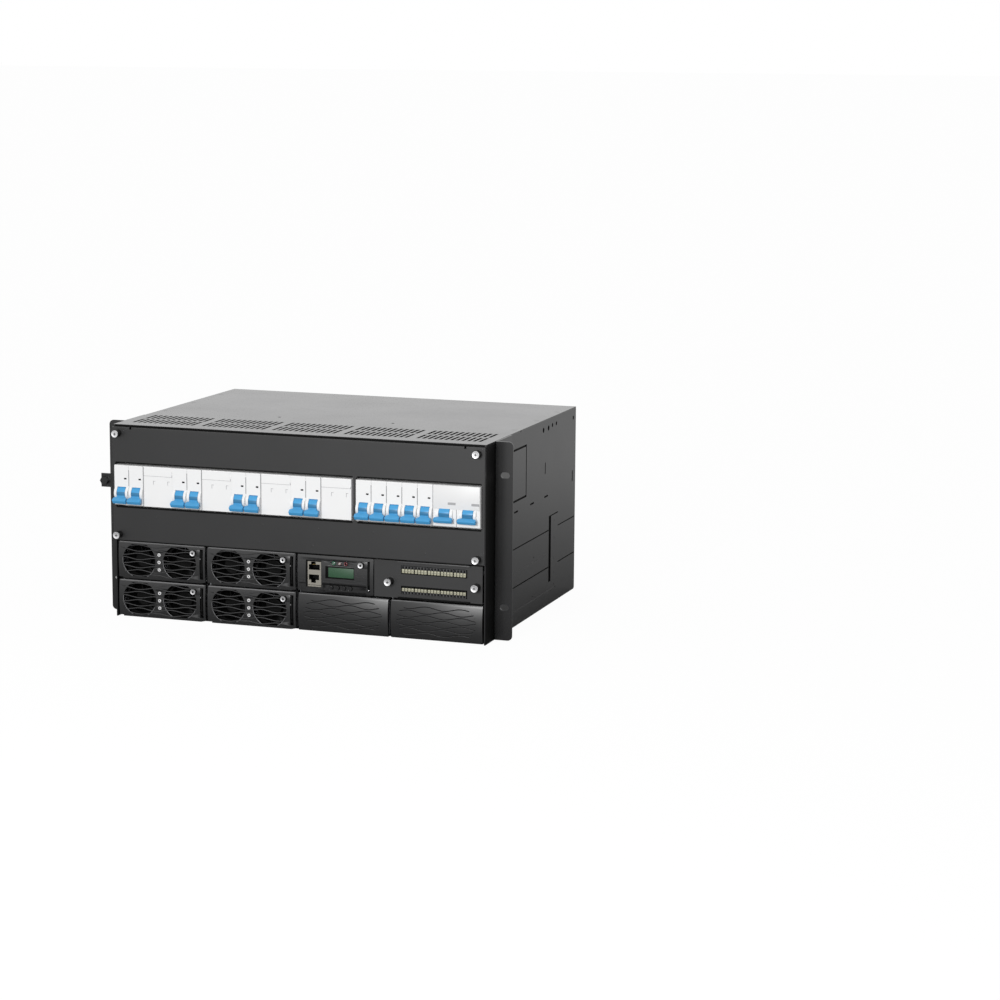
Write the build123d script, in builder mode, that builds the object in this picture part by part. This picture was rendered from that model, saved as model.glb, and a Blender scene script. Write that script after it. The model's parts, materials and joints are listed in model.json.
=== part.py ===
"""A 19 inch power shelf, five rack units high, for a telecom or data centre rack.

The lower half holds hot-swap modules: four rectifiers with two fans each, a controller,
an input and output card and two blank fillers. The upper half holds a row of DIN-rail
breakers behind a screwed front cover with a long window.

Millimetres. X is along the width, Y runs from the front to the back and Z is up. The origin is
on the underside, at the middle of the width, in the plane where the ears meet the rack's posts.
"""

from build123d import *
from math import cos, pi, radians, sin
import os

os.makedirs("parts", exist_ok=True)

# Chassis
rack_width = 482.6
chassis_width = 442.0
chassis_height = 220.0
chassis_depth = 330.0
sheet = 1.5
lid_sheet = 1.2
ear_setback = 30.0
ear_sheet = 2.0
half_width = chassis_width / 2
wall_x = half_width - sheet
wall_top = chassis_height - lid_sheet
front_y = -(ear_setback + ear_sheet)
rear_y = front_y + chassis_depth
cut_over = 5.0
slide_gap = 0.3
seat_gap = 0.3
screw_gap = 0.15

# Module bays: two rows of four columns
column_count = 4
bay_side_gap = 0.5
column_gap = 3.0
row_gap = 1.6
bezel_height = 42.4
bezel_depth = 8.0
bezel_lift = 0.4
bezel_wall = 1.5
bezel_face = 2.5
bezel_round = 0.9
foot_step = 4.7
foot_slope = 6.0
foot_rise = 1.3
column_pitch = 2 * (wall_x - bay_side_gap) / column_count
bezel_width = column_pitch - column_gap
column_x = [(i - column_count / 2) * column_pitch + column_gap / 2 for i in range(column_count)]
row_z = [bezel_lift, bezel_lift + bezel_height + row_gap]
bay_floor_y = front_y + bezel_depth + seat_gap

# Module cases
case_side_inset = 2.0
case_bottom_inset = 1.4
case_height = bezel_height - 2 * case_bottom_inset
case_depth = 214.0
case_sheet = 1.0
case_y = front_y + bezel_depth
case_rear_y = case_y + case_depth

# Cage between the modules and the breakers
cage_sheet = 1.2
divider_sheet = 1.0
cage_setback = 4.0
mid_shelf_top = row_z[1] + case_bottom_inset - slide_gap
top_shelf_bottom = row_z[1] + case_bottom_inset + case_height + slide_gap
top_shelf_top = top_shelf_bottom + cage_sheet
cage_front_y = case_y + cage_setback

# Backplane at the far end of the bays
board_sheet = 1.6
backplane_gap = 8.0
backplane_y = case_rear_y + backplane_gap
backplane_side_gap = 4.5
backplane_edge_gap = 2.5
backplane_low = sheet + backplane_edge_gap
backplane_high = top_shelf_bottom - backplane_edge_gap
socket_width = 36.0
socket_height = 12.0
socket_depth = 7.0
socket_wall = 2.5
plug_gap = 1.0
plug_reach = 5.0
cage_rear_y = backplane_y

# Front cover over the breaker row
cover_bottom_gap = 1.6
cover_top_gap = 2.5
cover_bottom = top_shelf_top + cover_bottom_gap
cover_top = chassis_height - cover_top_gap
cover_proud = 4.0
cover_sheet = 1.5
cover_round = 0.8
cover_edge_gap = 0.3
window_side = 3.0
window_margin = 1.8
cover_notch = 2.4
cover_screw_inset = 7.7
cover_screw_edge = 6.9
cover_y = front_y - cover_proud
cover_screw_x = half_width - cover_screw_inset
cover_screw_z = [cover_bottom + cover_screw_edge, cover_top - cover_screw_edge]

# Captive screws
captive_head_r = 3.9
captive_head_length = 3.5
captive_sleeve_r = 3.5
captive_proud = 10.0
captive_shank_r = 1.7
captive_reach = 6.0
cross_width = 1.1
cross_depth = 1.2
cross_share = 0.72
head_round = 0.5

# Breakers
breaker_pitch = 17.85
breaker_gap = 0.25
wide_breaker_pitch = 27.0
breaker_nose_height = 45.3
breaker_body_height = 82.0
breaker_axis_drop = 0.65
breaker_proud = 4.0
breaker_nose_depth = 22.0
breaker_body_depth = 42.0
breaker_round = 1.2
bank_side_gap = 3.9
left_group_count = 4
right_single_count = 5
wide_count = 2
modules_in_group = 4
toggles_in_group = 2
blank_modules = modules_in_group - toggles_in_group
bank_edge = half_width - bank_side_gap
left_bank_end = -bank_edge + left_group_count * modules_in_group * breaker_pitch
right_bank_start = bank_edge - wide_count * wide_breaker_pitch - right_single_count * breaker_pitch
breaker_axis_z = (cover_bottom + cover_top) / 2 - breaker_axis_drop
window_low = breaker_axis_z - breaker_nose_height / 2 - window_margin
window_high = breaker_axis_z + breaker_nose_height / 2 + window_margin
breaker_y = cover_y - breaker_proud
breaker_shoulder_y = breaker_y + breaker_nose_depth
breaker_rear_y = breaker_shoulder_y + breaker_body_depth
flag_width = 3.0
flag_height = 1.8
flag_depth = 0.5
flag_lift = 7.45
flag_offset = 4.7
terminal_r = 2.6
terminal_depth = 6.0
terminal_inset = 7.0
label_proud = 0.4
label_height = 9.5
label_margin = 0.8

# Toggles, drawn in the off position
toggle_depth = 5.0
toggle_drop = 9.35
toggle_angle = 35.0
toggle_drum_r = 8.2
toggle_recess_r = 8.6
cheek_r = 8.1
cheek_width = 3.0
toggle_side_gap = 0.3
stem_width = 10.0
wide_stem_width = 12.0
paddle_width = 16.5
wide_paddle_width = 21.0
paddle_thickness = 4.6
paddle_start = 9.4
paddle_flare = 1.8
paddle_end = 16.0
paddle_round = 1.0
recess_half_height = 7.4
toggle_y = breaker_y + toggle_depth
toggle_z = breaker_axis_z - toggle_drop

# DIN rail and copper bars
rail_height = 35.0
rail_base_height = 24.0
rail_sheet = 1.0
rail_depth = 7.5
rail_notch_depth = 3.8
rail_gap = 0.2
rail_end_gap = 8.0
rail_bracket_width = 14.0
bar_height = 10.0
bar_sheet = 3.0
bar_lift = 3.0
bar_end_inset = 6.0
bar_tab_width = 6.0
bar_depth_place = 16.0
return_bar_height = 20.0
return_bar_sheet = 4.0
return_bar_length = 360.0
return_bar_back = 110.0
insulator_r = 8.0
insulator_height = 22.0
insulator_count = 3
insulator_spacing = 150.0
bolt_head_r = 5.0
bolt_head_height = 3.5
bar_bolt_count = 10
bar_bolt_spacing = 36.0

# Top cover
vent_group_count = 5
vent_group_pitch = 85.25
vent_slot_count = 12
vent_slot_pitch = 6.5
vent_slot_width = 3.4
vent_row_length = 28.0
vent_row_pitch = 33.0
vent_first_row = 34.0
lid_flange = 10.0
lid_flange_setback = 3.0
wall_lip = 13.0
lid_screw_inset = 7.0
lid_screw_shares = [0.358, 0.595, 0.833]
lid_screw_x = half_width - lid_screw_inset
lid_screw_back = [share * chassis_depth for share in lid_screw_shares]
lid_hole_r = 2.0
lid_hole_spacing = 139.0
lid_hole_back = 117.5

# Countersunk screws of the lid and the ears
small_screw_r = 1.5
small_head_r = 2.8
small_head_depth = 1.1
small_screw_length = 6.0

# Rack ears
ear_end_gap = 0.25
ear_leg = 52.0
ear_round = 5.0
ear_hole_spacing = 146.05
ear_hole_inset = 8.75
ear_slot_length = 10.3
ear_slot_width = 6.8
ear_screw_back = 24.0
ear_screw_shares = [0.136, 0.364, 0.636, 0.864]
ear_screw_heights = [share * chassis_height for share in ear_screw_shares]
ear_hole_back = ear_setback + ear_sheet + ear_screw_back
ear_hole_x = rack_width / 2 - ear_hole_inset

# Earth terminal on the left wall, in front of the ear
earth_tab_width = 19.0
earth_tab_height = 15.5
earth_tab_sheet = 2.0
earth_tab_back = 5.0
earth_z = 154.5
earth_foot = 18.0
earth_bolt_inset = 5.2
earth_bolt_across = 8.5
earth_bolt_head = 4.5
earth_bolt_r = 2.4
earth_bolt_length = 11.0

# Side wall openings: shares of the depth from the front edge and of the height from the underside
round_hole_r = 3.0
round_hole_shares = [(0.615, 0.948), (0.673, 0.948)]
small_hole_r = 2.4
small_hole_shares = [(0.718, 0.955), (0.764, 0.955), (0.968, 0.945)]
pin_hole_r = 0.9
pin_hole_shares = [(0.515, 0.302), (0.509, 0.098), (0.764, 0.077), (0.752, 0.095)]
knockout_slit = 2.4
knockout_front = 88.0
knockout_back = 141.0
knockout_low = 142.5
knockout_high = 200.0
knockout_bridge_z = 171.5
knockout_bridge = 2.5
short_slot_length = 14.0
short_slot_height = 2.0
short_slot_z = 130.0
short_slot_shares = [0.315, 0.492, 0.652]
seam_height = 1.3
seam_levels = [mid_shelf_top - cage_sheet / 2, cover_bottom]
seam_front = 88.0
seam_break_front = 226.0
seam_break_back = 262.0
seam_rear_gap = 2.5
riser_slot_front = 226.5
riser_slot_width = 8.5
riser_slot_low = 27.0
riser_slot_high = 105.0
dent_width = 5.0
dent_height = 13.0
dent_depth = 0.4
dent_shares = [(0.636, 0.743), (0.961, 0.63)]
rib_height = 1.2
rib_proud = 0.4
rib_front = 88.0
rib_shares = [(0.682, 0.275), (0.758, 0.075)]
rear_round = 3.0

# Rear wall openings
exhaust_count = 8
exhaust_pitch = 9.0
exhaust_width = 4.0
exhaust_height = 26.0
entry_width = 70.0
entry_height = 34.0
entry_z = 150.0
entry_x = 120.0

# Rectifier bezel
fan_first_x = 25.5
fan_pitch = 50.0
fan_x = [fan_first_x, fan_first_x + fan_pitch]
fan_z = bezel_height / 2
grille_r = 20.3
grille_half_height = 18.4
wave_count = 8
wave_pitch = 4.75
wave_swing = 1.25
wave_length = 39.4
wave_phase = 9.0
wave_width = 1.1
wave_points = 13
lamp_r = 1.9
lamp_proud = 0.5
lamp_drop = 0.45
lamp_pitch = 8.55
lamp_x = fan_first_x + fan_pitch / 2
lamp_z = [fan_z - lamp_drop + i * lamp_pitch for i in (-1, 0, 1)]

# Rectifier fans
fan_frame = case_height - 2 * (case_sheet + seat_gap)
fan_frame_wall = 0.6
fan_frame_depth = 15.0
fan_duct_r = fan_frame / 2 - fan_frame_wall
fan_back = 1.0
fan_hub_r = 9.5
fan_hub_depth = 10.0
fan_tip_gap = 0.6
fan_blade_r = fan_duct_r - fan_tip_gap
fan_blade_count = 7
fan_blade_width = 9.0
fan_blade_sheet = 1.2
fan_blade_lean = 32.0
fan_motor_depth = 2.0
fan_motor_gap = 0.5
fan_strut_width = 3.0
fan_shaft_r = 1.5
fan_bore_gap = 0.06
board_lift = 5.0
heat_sink_width = 60.0
heat_sink_height = 26.0
heat_sink_front = 40.0
heat_sink_back = 190.0
heat_sink_base = 4.0
heat_sink_fin = 1.6
heat_sink_fin_count = 9
case_slot_count = 12
case_slot_pitch = 7.5
case_slot_width = 4.0
case_slot_height = 26.0

# Locking levers
lever_sheet = 1.7
lever_pivot_back = 5.0
lever_pivot_rise = 3.4
lever_pivot_r = 1.2
lever_bore_gap = 0.3
lever_boss_r = 2.8
lever_heel = 4.0
lever_depth = 6.6
lever_end_gap = 0.8
lever_face_gap = 0.2
lever_tab_half = 3.2
lever_notch_gap = 0.7
lever_head_r = 3.0
lever_head_length = 3.4
lever_shank_r = 1.4
lever_shank_reach = 6.0
slit_low = 4.6
slit_top_gap = 3.8
lever_screw_drop = 4.0
lever_screw_offset = 6.7
rectifier_slit_inset = 6.5
rectifier_slit_width = 4.0
slit_high = bezel_height - slit_top_gap
lever_screw_z = slit_high - lever_screw_drop
rectifier_slit_x = bezel_width - rectifier_slit_inset

# Controller, measured from its bezel's left edge and underside
controller_width = 89.5
controller_slit_inset = 6.9
controller_slit_width = 2.7
controller_slit_x = controller_width - controller_slit_inset
jack_window_x = 9.6
jack_window_z = 6.1
jack_window_width = 18.4
jack_window_height = 30.0
jack_depth = 16.0
jack_back = 0.6
jack_fit = 0.3
port_width = 11.6
port_height = 8.8
port_depth = 12.0
port_key_width = 6.0
port_key_height = 1.6
port_first_z = 13.9
port_pitch = 16.1
port_z = [port_first_z, port_first_z + port_pitch]
display_x = 33.0
display_z = 17.1
display_width = 34.0
display_height = 13.5
display_back = 1.0
display_fit = 0.3
front_board_back = 6.2
front_board_side = 3.0
front_board_gap = 4.1
front_board_margin = 3.0
key_inset = 6.5
key_pitch = 7.5
key_count = 4
key_x = [display_x + key_inset + i * key_pitch for i in range(key_count)]
key_z = 7.0
key_r = 2.5
key_proud = 1.0
key_gap = 0.3
key_flange_r = 3.2
key_flange_sheet = 0.9
key_reach = 4.7
controller_lamp_inset = 9.9
controller_lamp_pitch = 7.05
controller_lamp_count = 3
controller_lamp_x = [display_x + controller_lamp_inset + i * controller_lamp_pitch
                     for i in range(controller_lamp_count)]
controller_lamp_z = 34.4
controller_lamp_r = 2.1
ledge_z = 10.6
ledge_step = 0.5
ledge_margin = 2.0

# Input and output card
card_gap = 1.2
card_left = column_x[2] + controller_width + card_gap
card_right = column_x[3] + bezel_width
card_low = row_z[1] + card_gap
card_high = row_z[1] + bezel_height
card_tray_depth = 60.0
terminal_count = 5
terminal_pitch = 15.0
terminal_width = 14.4
terminal_height = 8.4
terminal_end_gap = 0.7
card_window_inset = 17.5
card_window_right = card_right - card_window_inset
card_window_left = card_window_right - terminal_count * terminal_pitch - 2 * terminal_end_gap
card_window_height = 9.3
card_window_rise = 4.4
card_window_pitch = 22.7
card_window_z = [card_low + card_window_rise, card_low + card_window_rise + card_window_pitch]
card_board_back = 12.0
card_screw_left_inset = 19.0
card_screw_right_inset = 6.2
card_screw_x = [card_left + card_screw_left_inset, card_right - card_screw_right_inset]
card_screw_rise = 18.4
card_screw_z = card_low + card_screw_rise
card_screw_reach = 5.0
card_lip_margin = 3.3
card_lip_depth = 2.0
card_lip_sheet = 1.2
terminal_proud = 0.8
pole_count = 4
pole_width = 2.4
pole_height = 2.8
pole_depth = 5.0
button_width = 1.6
button_height = 1.6
button_depth = 0.5

# Blank fillers
filler_groove_depth = 0.6
filler_groove_width = 0.9
filler_groove_count = 7
filler_oval_width = 92.0
filler_oval_height = 33.0
filler_clip_width = 12.0
filler_clip_length = 18.0
filler_clip_sheet = 1.5
filler_clip_inset = 14.0


def block(low, high, mode=Mode.ADD):
    """Adds a box between two opposite corners to the part being built."""
    middle = tuple((a + b) / 2 for a, b in zip(low, high))
    with Locations(middle):
        Box(*(b - a for a, b in zip(low, high)), mode=mode)


def upright(y):
    """The plane across the shelf at depth y, seen from the front: X to the right, Z up."""
    return Plane.XZ.offset(-y)


def sideways(x):
    """The plane along the shelf at width x: its own X is the depth, its own Y is the height."""
    return Plane.YZ.offset(x)


def rod_y(x, z, y_front, y_back, radius, mode=Mode.ADD):
    """Adds a round bar along the depth."""
    with Locations(Location((x, (y_front + y_back) / 2, z), (90, 0, 0))):
        Cylinder(radius, y_back - y_front, mode=mode)


def rod_x(y, z, x_low, x_high, radius, mode=Mode.ADD):
    """Adds a round bar along the width."""
    with Locations(Location(((x_low + x_high) / 2, y, z), (0, 90, 0))):
        Cylinder(radius, x_high - x_low, mode=mode)


def cross_slot(x, z, y_face, head_r):
    """Cuts a cross recess into a screw head that faces the front."""
    reach = head_r * cross_share
    half = cross_width / 2
    for wide, tall in ((reach, half), (half, reach)):
        block((x - wide, y_face - cut_over, z - tall), (x + wide, y_face + cross_depth, z + tall),
              Mode.SUBTRACT)


def captive_screw(x, z, y_seat, reach):
    """One captive thumb screw whose sleeve stands on the plane y_seat and points at the front."""
    y_face = y_seat - captive_proud
    y_neck = y_face + captive_head_length
    rod_y(x, z, y_face, y_neck, captive_head_r)
    rod_y(x, z, y_neck, y_seat, captive_sleeve_r)
    rod_y(x, z, y_seat, y_seat + reach, captive_shank_r)
    cross_slot(x, z, y_face, captive_head_r)


def wave_z(x, middle, index):
    """Height of one of the wavy bars, whose neighbours swing the opposite way."""
    swing = -wave_swing if index % 2 else wave_swing
    return middle + swing * cos(2 * pi * (x - fan_x[1] - wave_phase) / wave_length)


def wavy_bar(x_low, x_high, middle, index, width, mode):
    """Adds or cuts one wavy bar in the sketch being built."""
    xs = [x_low + (x_high - x_low) * i / (wave_points - 1) for i in range(wave_points)]
    upper = [(x, wave_z(x, middle, index) + width / 2) for x in xs]
    lower = [(x, wave_z(x, middle, index) - width / 2) for x in reversed(xs)]
    with BuildLine() as outline:
        Spline(*upper)
        Line(upper[-1], lower[0])
        Spline(*lower)
        Line(lower[-1], upper[0])
    make_face(outline.edges(), mode=mode)


def save(part, name, place=Location()):
    """Moves the solids of a finished piece to their place, labels the piece and writes it."""
    piece = Compound([solid.moved(place) for solid in part.solids()])
    piece.label = name
    export_step(piece, f"parts/{name}.step")


def build_chassis():
    """Folded tray: floor, side walls with their openings, rear wall, lips for the lid and the cover."""
    with BuildPart() as chassis:
        block((-half_width, front_y, 0), (half_width, rear_y, wall_top))
        block((-wall_x, front_y - cut_over, sheet), (wall_x, rear_y - sheet, wall_top + cut_over),
              Mode.SUBTRACT)
        block((-wall_x, front_y - cut_over, -cut_over), (wall_x, bay_floor_y, sheet + cut_over),
              Mode.SUBTRACT)
        rear_edges = chassis.edges().filter_by(Axis.X).group_by(Axis.Z)[0].sort_by(Axis.Y)[-1:]
        fillet(rear_edges, radius=rear_round)

        for side in (-1, 1):
            lip = sorted((side * (wall_x - wall_lip), side * wall_x))
            block((lip[0], front_y, wall_top - sheet), (lip[1], rear_y - sheet, wall_top))
            block((lip[0], front_y, cover_bottom + sheet),
                  (lip[1], front_y + sheet, window_low - window_margin))
            block((lip[0], front_y, window_high + window_margin),
                  (lip[1], front_y + sheet, wall_top - sheet))
            for z in cover_screw_z:
                rod_y(side * cover_screw_x, z, front_y - cut_over, front_y + cut_over,
                      captive_shank_r + slide_gap, Mode.SUBTRACT)
            for back in lid_screw_back:
                with Locations((side * lid_screw_x, front_y + back, wall_top)):
                    Cylinder(small_screw_r + screw_gap, 2 * cut_over, mode=Mode.SUBTRACT)
            cut_side_wall(side)

        with BuildSketch(upright(rear_y + cut_over)):
            for column in column_x:
                for z in row_z:
                    with Locations((column + bezel_width / 2, z + bezel_height / 2)):
                        with GridLocations(exhaust_pitch, exhaust_height, exhaust_count, 1):
                            SlotOverall(exhaust_height, exhaust_width, rotation=90)
            with Locations((-entry_x, entry_z), (entry_x, entry_z)):
                SlotOverall(entry_width, entry_height)
        extrude(amount=2 * cut_over, mode=Mode.SUBTRACT)
    save(chassis.part, "chassis")


def side_places(shares):
    """Depths and heights on the side wall of places given as shares of its depth and height."""
    return [(front_y + back * chassis_depth, rise * chassis_height) for back, rise in shares]


def cut_side_wall(side):
    """Cuts the holes, slots and knockout of one side wall, and adds its two long ribs."""
    outer = side * half_width
    low, high = sorted((side * (wall_x - cut_over), side * (half_width + cut_over)))
    with BuildSketch(sideways(low)) as openings:
        for shares, radius in ((round_hole_shares, round_hole_r), (small_hole_shares, small_hole_r),
                               (pin_hole_shares, pin_hole_r)):
            with Locations(*side_places(shares)):
                Circle(radius)
        with Locations(*[(front_y + share * chassis_depth, short_slot_z) for share in short_slot_shares]):
            SlotOverall(short_slot_length, short_slot_height)
        for z in seam_levels:
            for start, end in ((seam_front, seam_break_front),
                               (seam_break_back, chassis_depth - seam_rear_gap)):
                with Locations((front_y + (start + end) / 2, z)):
                    Rectangle(end - start, seam_height)
        riser_mid = (riser_slot_low + riser_slot_high) / 2
        with Locations((front_y + riser_slot_front + riser_slot_width / 2, riser_mid)):
            Rectangle(riser_slot_width, riser_slot_high - riser_slot_low)
        tail = seam_break_back - riser_slot_front
        with Locations((front_y + riser_slot_front + tail / 2, riser_slot_high - seam_height / 2)):
            Rectangle(tail, seam_height)
        span = knockout_back - knockout_front
        for z in (knockout_low, knockout_high):
            with Locations((front_y + knockout_front + span / 2, z)):
                Rectangle(span, knockout_slit)
        for start, end in ((knockout_low, knockout_bridge_z - knockout_bridge / 2),
                           (knockout_bridge_z + knockout_bridge / 2, knockout_high)):
            with Locations((front_y + knockout_back - knockout_slit / 2, (start + end) / 2)):
                Rectangle(knockout_slit, end - start + knockout_slit)
        with Locations(*[(front_y + ear_hole_back, z) for z in ear_screw_heights]):
            Circle(small_screw_r + screw_gap)
    extrude(openings.sketch, amount=high - low, mode=Mode.SUBTRACT)
    for y, z in side_places(dent_shares):
        inner, outside = sorted((outer - side * dent_depth, outer + side * cut_over))
        block((inner, y - dent_width / 2, z - dent_height / 2),
              (outside, y + dent_width / 2, z + dent_height / 2), Mode.SUBTRACT)
    for y, z in side_places(rib_shares):
        inner, outside = sorted((outer, outer + side * rib_proud))
        block((inner, front_y + rib_front, z - rib_height / 2), (outside, y, z + rib_height / 2))


def build_top_cover():
    """Flat lid with five groups of vent slots, a flange at the front and six countersunk holes."""
    with BuildPart() as lid:
        block((-half_width, front_y, wall_top), (half_width, rear_y, chassis_height))
        flange_y = front_y + lid_flange_setback
        flange_x = wall_x - wall_lip - seat_gap
        block((-flange_x, flange_y, wall_top - lid_flange), (flange_x, flange_y + lid_sheet, wall_top))
        with BuildSketch(Plane.XY.offset(wall_top - cut_over)):
            for row in range(2):
                for group in range(vent_group_count):
                    x = (group - (vent_group_count - 1) / 2) * vent_group_pitch
                    with Locations((x, front_y + vent_first_row + row * vent_row_pitch)):
                        with GridLocations(vent_slot_pitch, vent_row_length, vent_slot_count, 1):
                            Rectangle(vent_slot_width, vent_row_length)
            with Locations((-lid_hole_spacing / 2, front_y + lid_hole_back),
                           (lid_hole_spacing / 2, front_y + lid_hole_back)):
                Circle(lid_hole_r)
        extrude(amount=2 * cut_over, mode=Mode.SUBTRACT)
        with Locations(*lid_screw_places()):
            CounterSinkHole(small_screw_r + screw_gap, small_head_r + screw_gap, depth=cut_over)
    save(lid.part, "top_cover")


def lid_screw_places():
    """Centres of the lid's six screws on the lid's upper face."""
    return [(side * lid_screw_x, front_y + back, chassis_height)
            for side in (-1, 1) for back in lid_screw_back]


def build_ear(side, name):
    """Angle with two rack slots in its flange and a leg along the side wall."""
    outer_x = rack_width / 2
    with BuildPart() as ear:
        with BuildSketch(Plane.XY.offset(ear_end_gap)):
            with BuildLine():
                Polyline((half_width, 0), (half_width, ear_leg - ear_sheet),
                         (half_width + ear_sheet, ear_leg - ear_sheet),
                         (half_width + ear_sheet, 0), (outer_x, 0), (outer_x, -ear_sheet),
                         (half_width, -ear_sheet), close=True)
            make_face()
        extrude(amount=chassis_height - 2 * ear_end_gap)
        bend = ear.edges().filter_by(Axis.Z).group_by(Axis.Y)[0].sort_by(Axis.X)[:1]
        fillet(bend, radius=ear_sheet / 2)
        corners = ear.edges().filter_by(Axis.Y).group_by(Axis.X)[-1]
        fillet(corners, radius=ear_round)
        slot_z = chassis_height / 2
        with BuildSketch(upright(cut_over)):
            with Locations((ear_hole_x, slot_z - ear_hole_spacing / 2),
                           (ear_hole_x, slot_z + ear_hole_spacing / 2)):
                SlotOverall(ear_slot_length, ear_slot_width)
        extrude(amount=2 * cut_over, mode=Mode.SUBTRACT)
        with Locations(*[Location((half_width + ear_sheet, ear_screw_back, z), (0, 90, 0))
                         for z in ear_screw_heights]):
            CounterSinkHole(small_screw_r + screw_gap, small_head_r + screw_gap, depth=cut_over)
        if side < 0:
            mirror(about=Plane.YZ, mode=Mode.REPLACE)
    save(ear.part, name)


def countersunk_screw(plane):
    """One countersunk screw whose head lies in the plane and whose shank points into it."""
    top = (Align.CENTER, Align.CENTER, Align.MAX)
    with Locations(plane.location):
        Cone(small_screw_r, small_head_r, small_head_depth, align=top)
        Cylinder(small_screw_r, small_screw_length, align=top)


def build_screws():
    """The lid's and the ears' countersunk screws and the earth terminal with its bolt."""
    with BuildPart() as screws:
        for x, y, z in lid_screw_places():
            countersunk_screw(Plane(origin=(x, y, z), z_dir=(0, 0, 1)))
        for side in (-1, 1):
            for z in ear_screw_heights:
                countersunk_screw(Plane(origin=(side * (half_width + ear_sheet), ear_screw_back, z),
                                        z_dir=(side, 0, 0)))
        tab_y = front_y + earth_tab_back
        tab_low, tab_high = earth_z - earth_tab_height / 2, earth_z + earth_tab_height / 2
        bolt_x = -half_width - earth_tab_width + earth_bolt_inset
        block((-half_width - earth_tab_width, tab_y, tab_low),
              (-half_width, tab_y + earth_tab_sheet, tab_high))
        block((-half_width - earth_tab_sheet, tab_y, tab_low),
              (-half_width, tab_y + earth_foot, tab_high))
        rod_y(bolt_x, earth_z, tab_y - cut_over, tab_y + cut_over, earth_bolt_r + screw_gap,
              Mode.SUBTRACT)
    with BuildPart() as bolt:
        with BuildSketch(upright(tab_y)):
            with Locations((bolt_x, earth_z)):
                RegularPolygon(earth_bolt_across / 2, 6, major_radius=False)
        extrude(amount=earth_bolt_head)
        rod_y(bolt_x, earth_z, tab_y - earth_bolt_head, tab_y - earth_bolt_head + earth_bolt_length,
              earth_bolt_r)
    save(Compound(children=[*screws.part.solids(), bolt.part]), "chassis_screws")


def build_cage():
    """Welded guide cage: two shelves and the upright dividers between the module bays."""
    with BuildPart() as cage:
        block((-wall_x, cage_front_y, mid_shelf_top - cage_sheet), (wall_x, cage_rear_y, mid_shelf_top))
        block((-wall_x, cage_front_y, top_shelf_bottom), (wall_x, cage_rear_y, top_shelf_top))
        half = divider_sheet / 2
        low_dividers = [(i + 1 - column_count / 2) * column_pitch for i in range(column_count - 1)]
        high_dividers = [*low_dividers[:-1], (column_x[2] + controller_width + card_left) / 2]
        for x in low_dividers:
            block((x - half, cage_front_y, sheet), (x + half, cage_rear_y, mid_shelf_top))
        for x in high_dividers:
            block((x - half, cage_front_y, mid_shelf_top), (x + half, cage_rear_y, top_shelf_bottom))
    save(cage.part, "module_cage")


def build_backplane():
    """Circuit board across the rear of the bays with one socket per bay."""
    with BuildPart() as backplane:
        edge = wall_x - backplane_side_gap
        block((-edge, backplane_y, backplane_low), (edge, backplane_y + board_sheet, backplane_high))
        for x, z in socket_places():
            half_w, half_h = socket_width / 2, socket_height / 2
            block((x - half_w, backplane_y - socket_depth, z - half_h), (x + half_w, backplane_y, z + half_h))
            half_w, half_h = half_w - socket_wall, half_h - socket_wall
            block((x - half_w, backplane_y - socket_depth - cut_over, z - half_h),
                  (x + half_w, backplane_y - socket_wall, z + half_h), Mode.SUBTRACT)
    save(backplane.part, "backplane")


def socket_places():
    """Centres of the sockets: one for each bay in both rows."""
    middle = case_bottom_inset + case_height / 2
    return [(x + bezel_width / 2, z + middle) for z in row_z for x in column_x]


def rear_plug(x, z):
    """Adds the contact tongue at the rear of a module case, loose inside its socket."""
    half_w = socket_width / 2 - socket_wall - plug_gap
    half_h = socket_height / 2 - socket_wall - plug_gap
    block((x - half_w, case_rear_y - case_sheet, z - half_h),
          (x + half_w, case_rear_y + plug_reach, z + half_h))


def build_front_cover():
    """Shallow pan over the breaker row, with the long window and its divider."""
    with BuildPart() as cover:
        back_y = front_y - cover_edge_gap
        block((-half_width, cover_y, cover_bottom), (half_width, back_y, cover_top))
        inner = half_width - cover_sheet
        block((-inner, cover_y + cover_sheet, cover_bottom + cover_sheet),
              (inner, back_y + cut_over, cover_top - cover_sheet), Mode.SUBTRACT)
        fillet(cover.edges().group_by(Axis.Y)[0], radius=cover_round)
        window_x = half_width - window_side
        for left, right in ((-window_x, left_bank_end + window_side / 2),
                            (right_bank_start - window_side / 2, window_x)):
            block((left, cover_y - cut_over, window_low), (right, back_y + cut_over, window_high),
                  Mode.SUBTRACT)
        for x in (-cover_screw_x, cover_screw_x):
            for z in cover_screw_z:
                rod_y(x, z, cover_y - cut_over, back_y, captive_shank_r + screw_gap, Mode.SUBTRACT)
            notch_x = x * (1 - 2 * cover_screw_inset / half_width)
            block((notch_x - cover_notch / 2, cover_y - cut_over, cover_top - cover_notch),
                  (notch_x + cover_notch / 2, back_y, cover_top + cut_over), Mode.SUBTRACT)
    save(cover.part, "front_cover")
    with BuildPart() as screws:
        for x in (-cover_screw_x, cover_screw_x):
            for z in cover_screw_z:
                captive_screw(x, z, cover_y, captive_reach)
    save(screws.part, "cover_screws")


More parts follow.
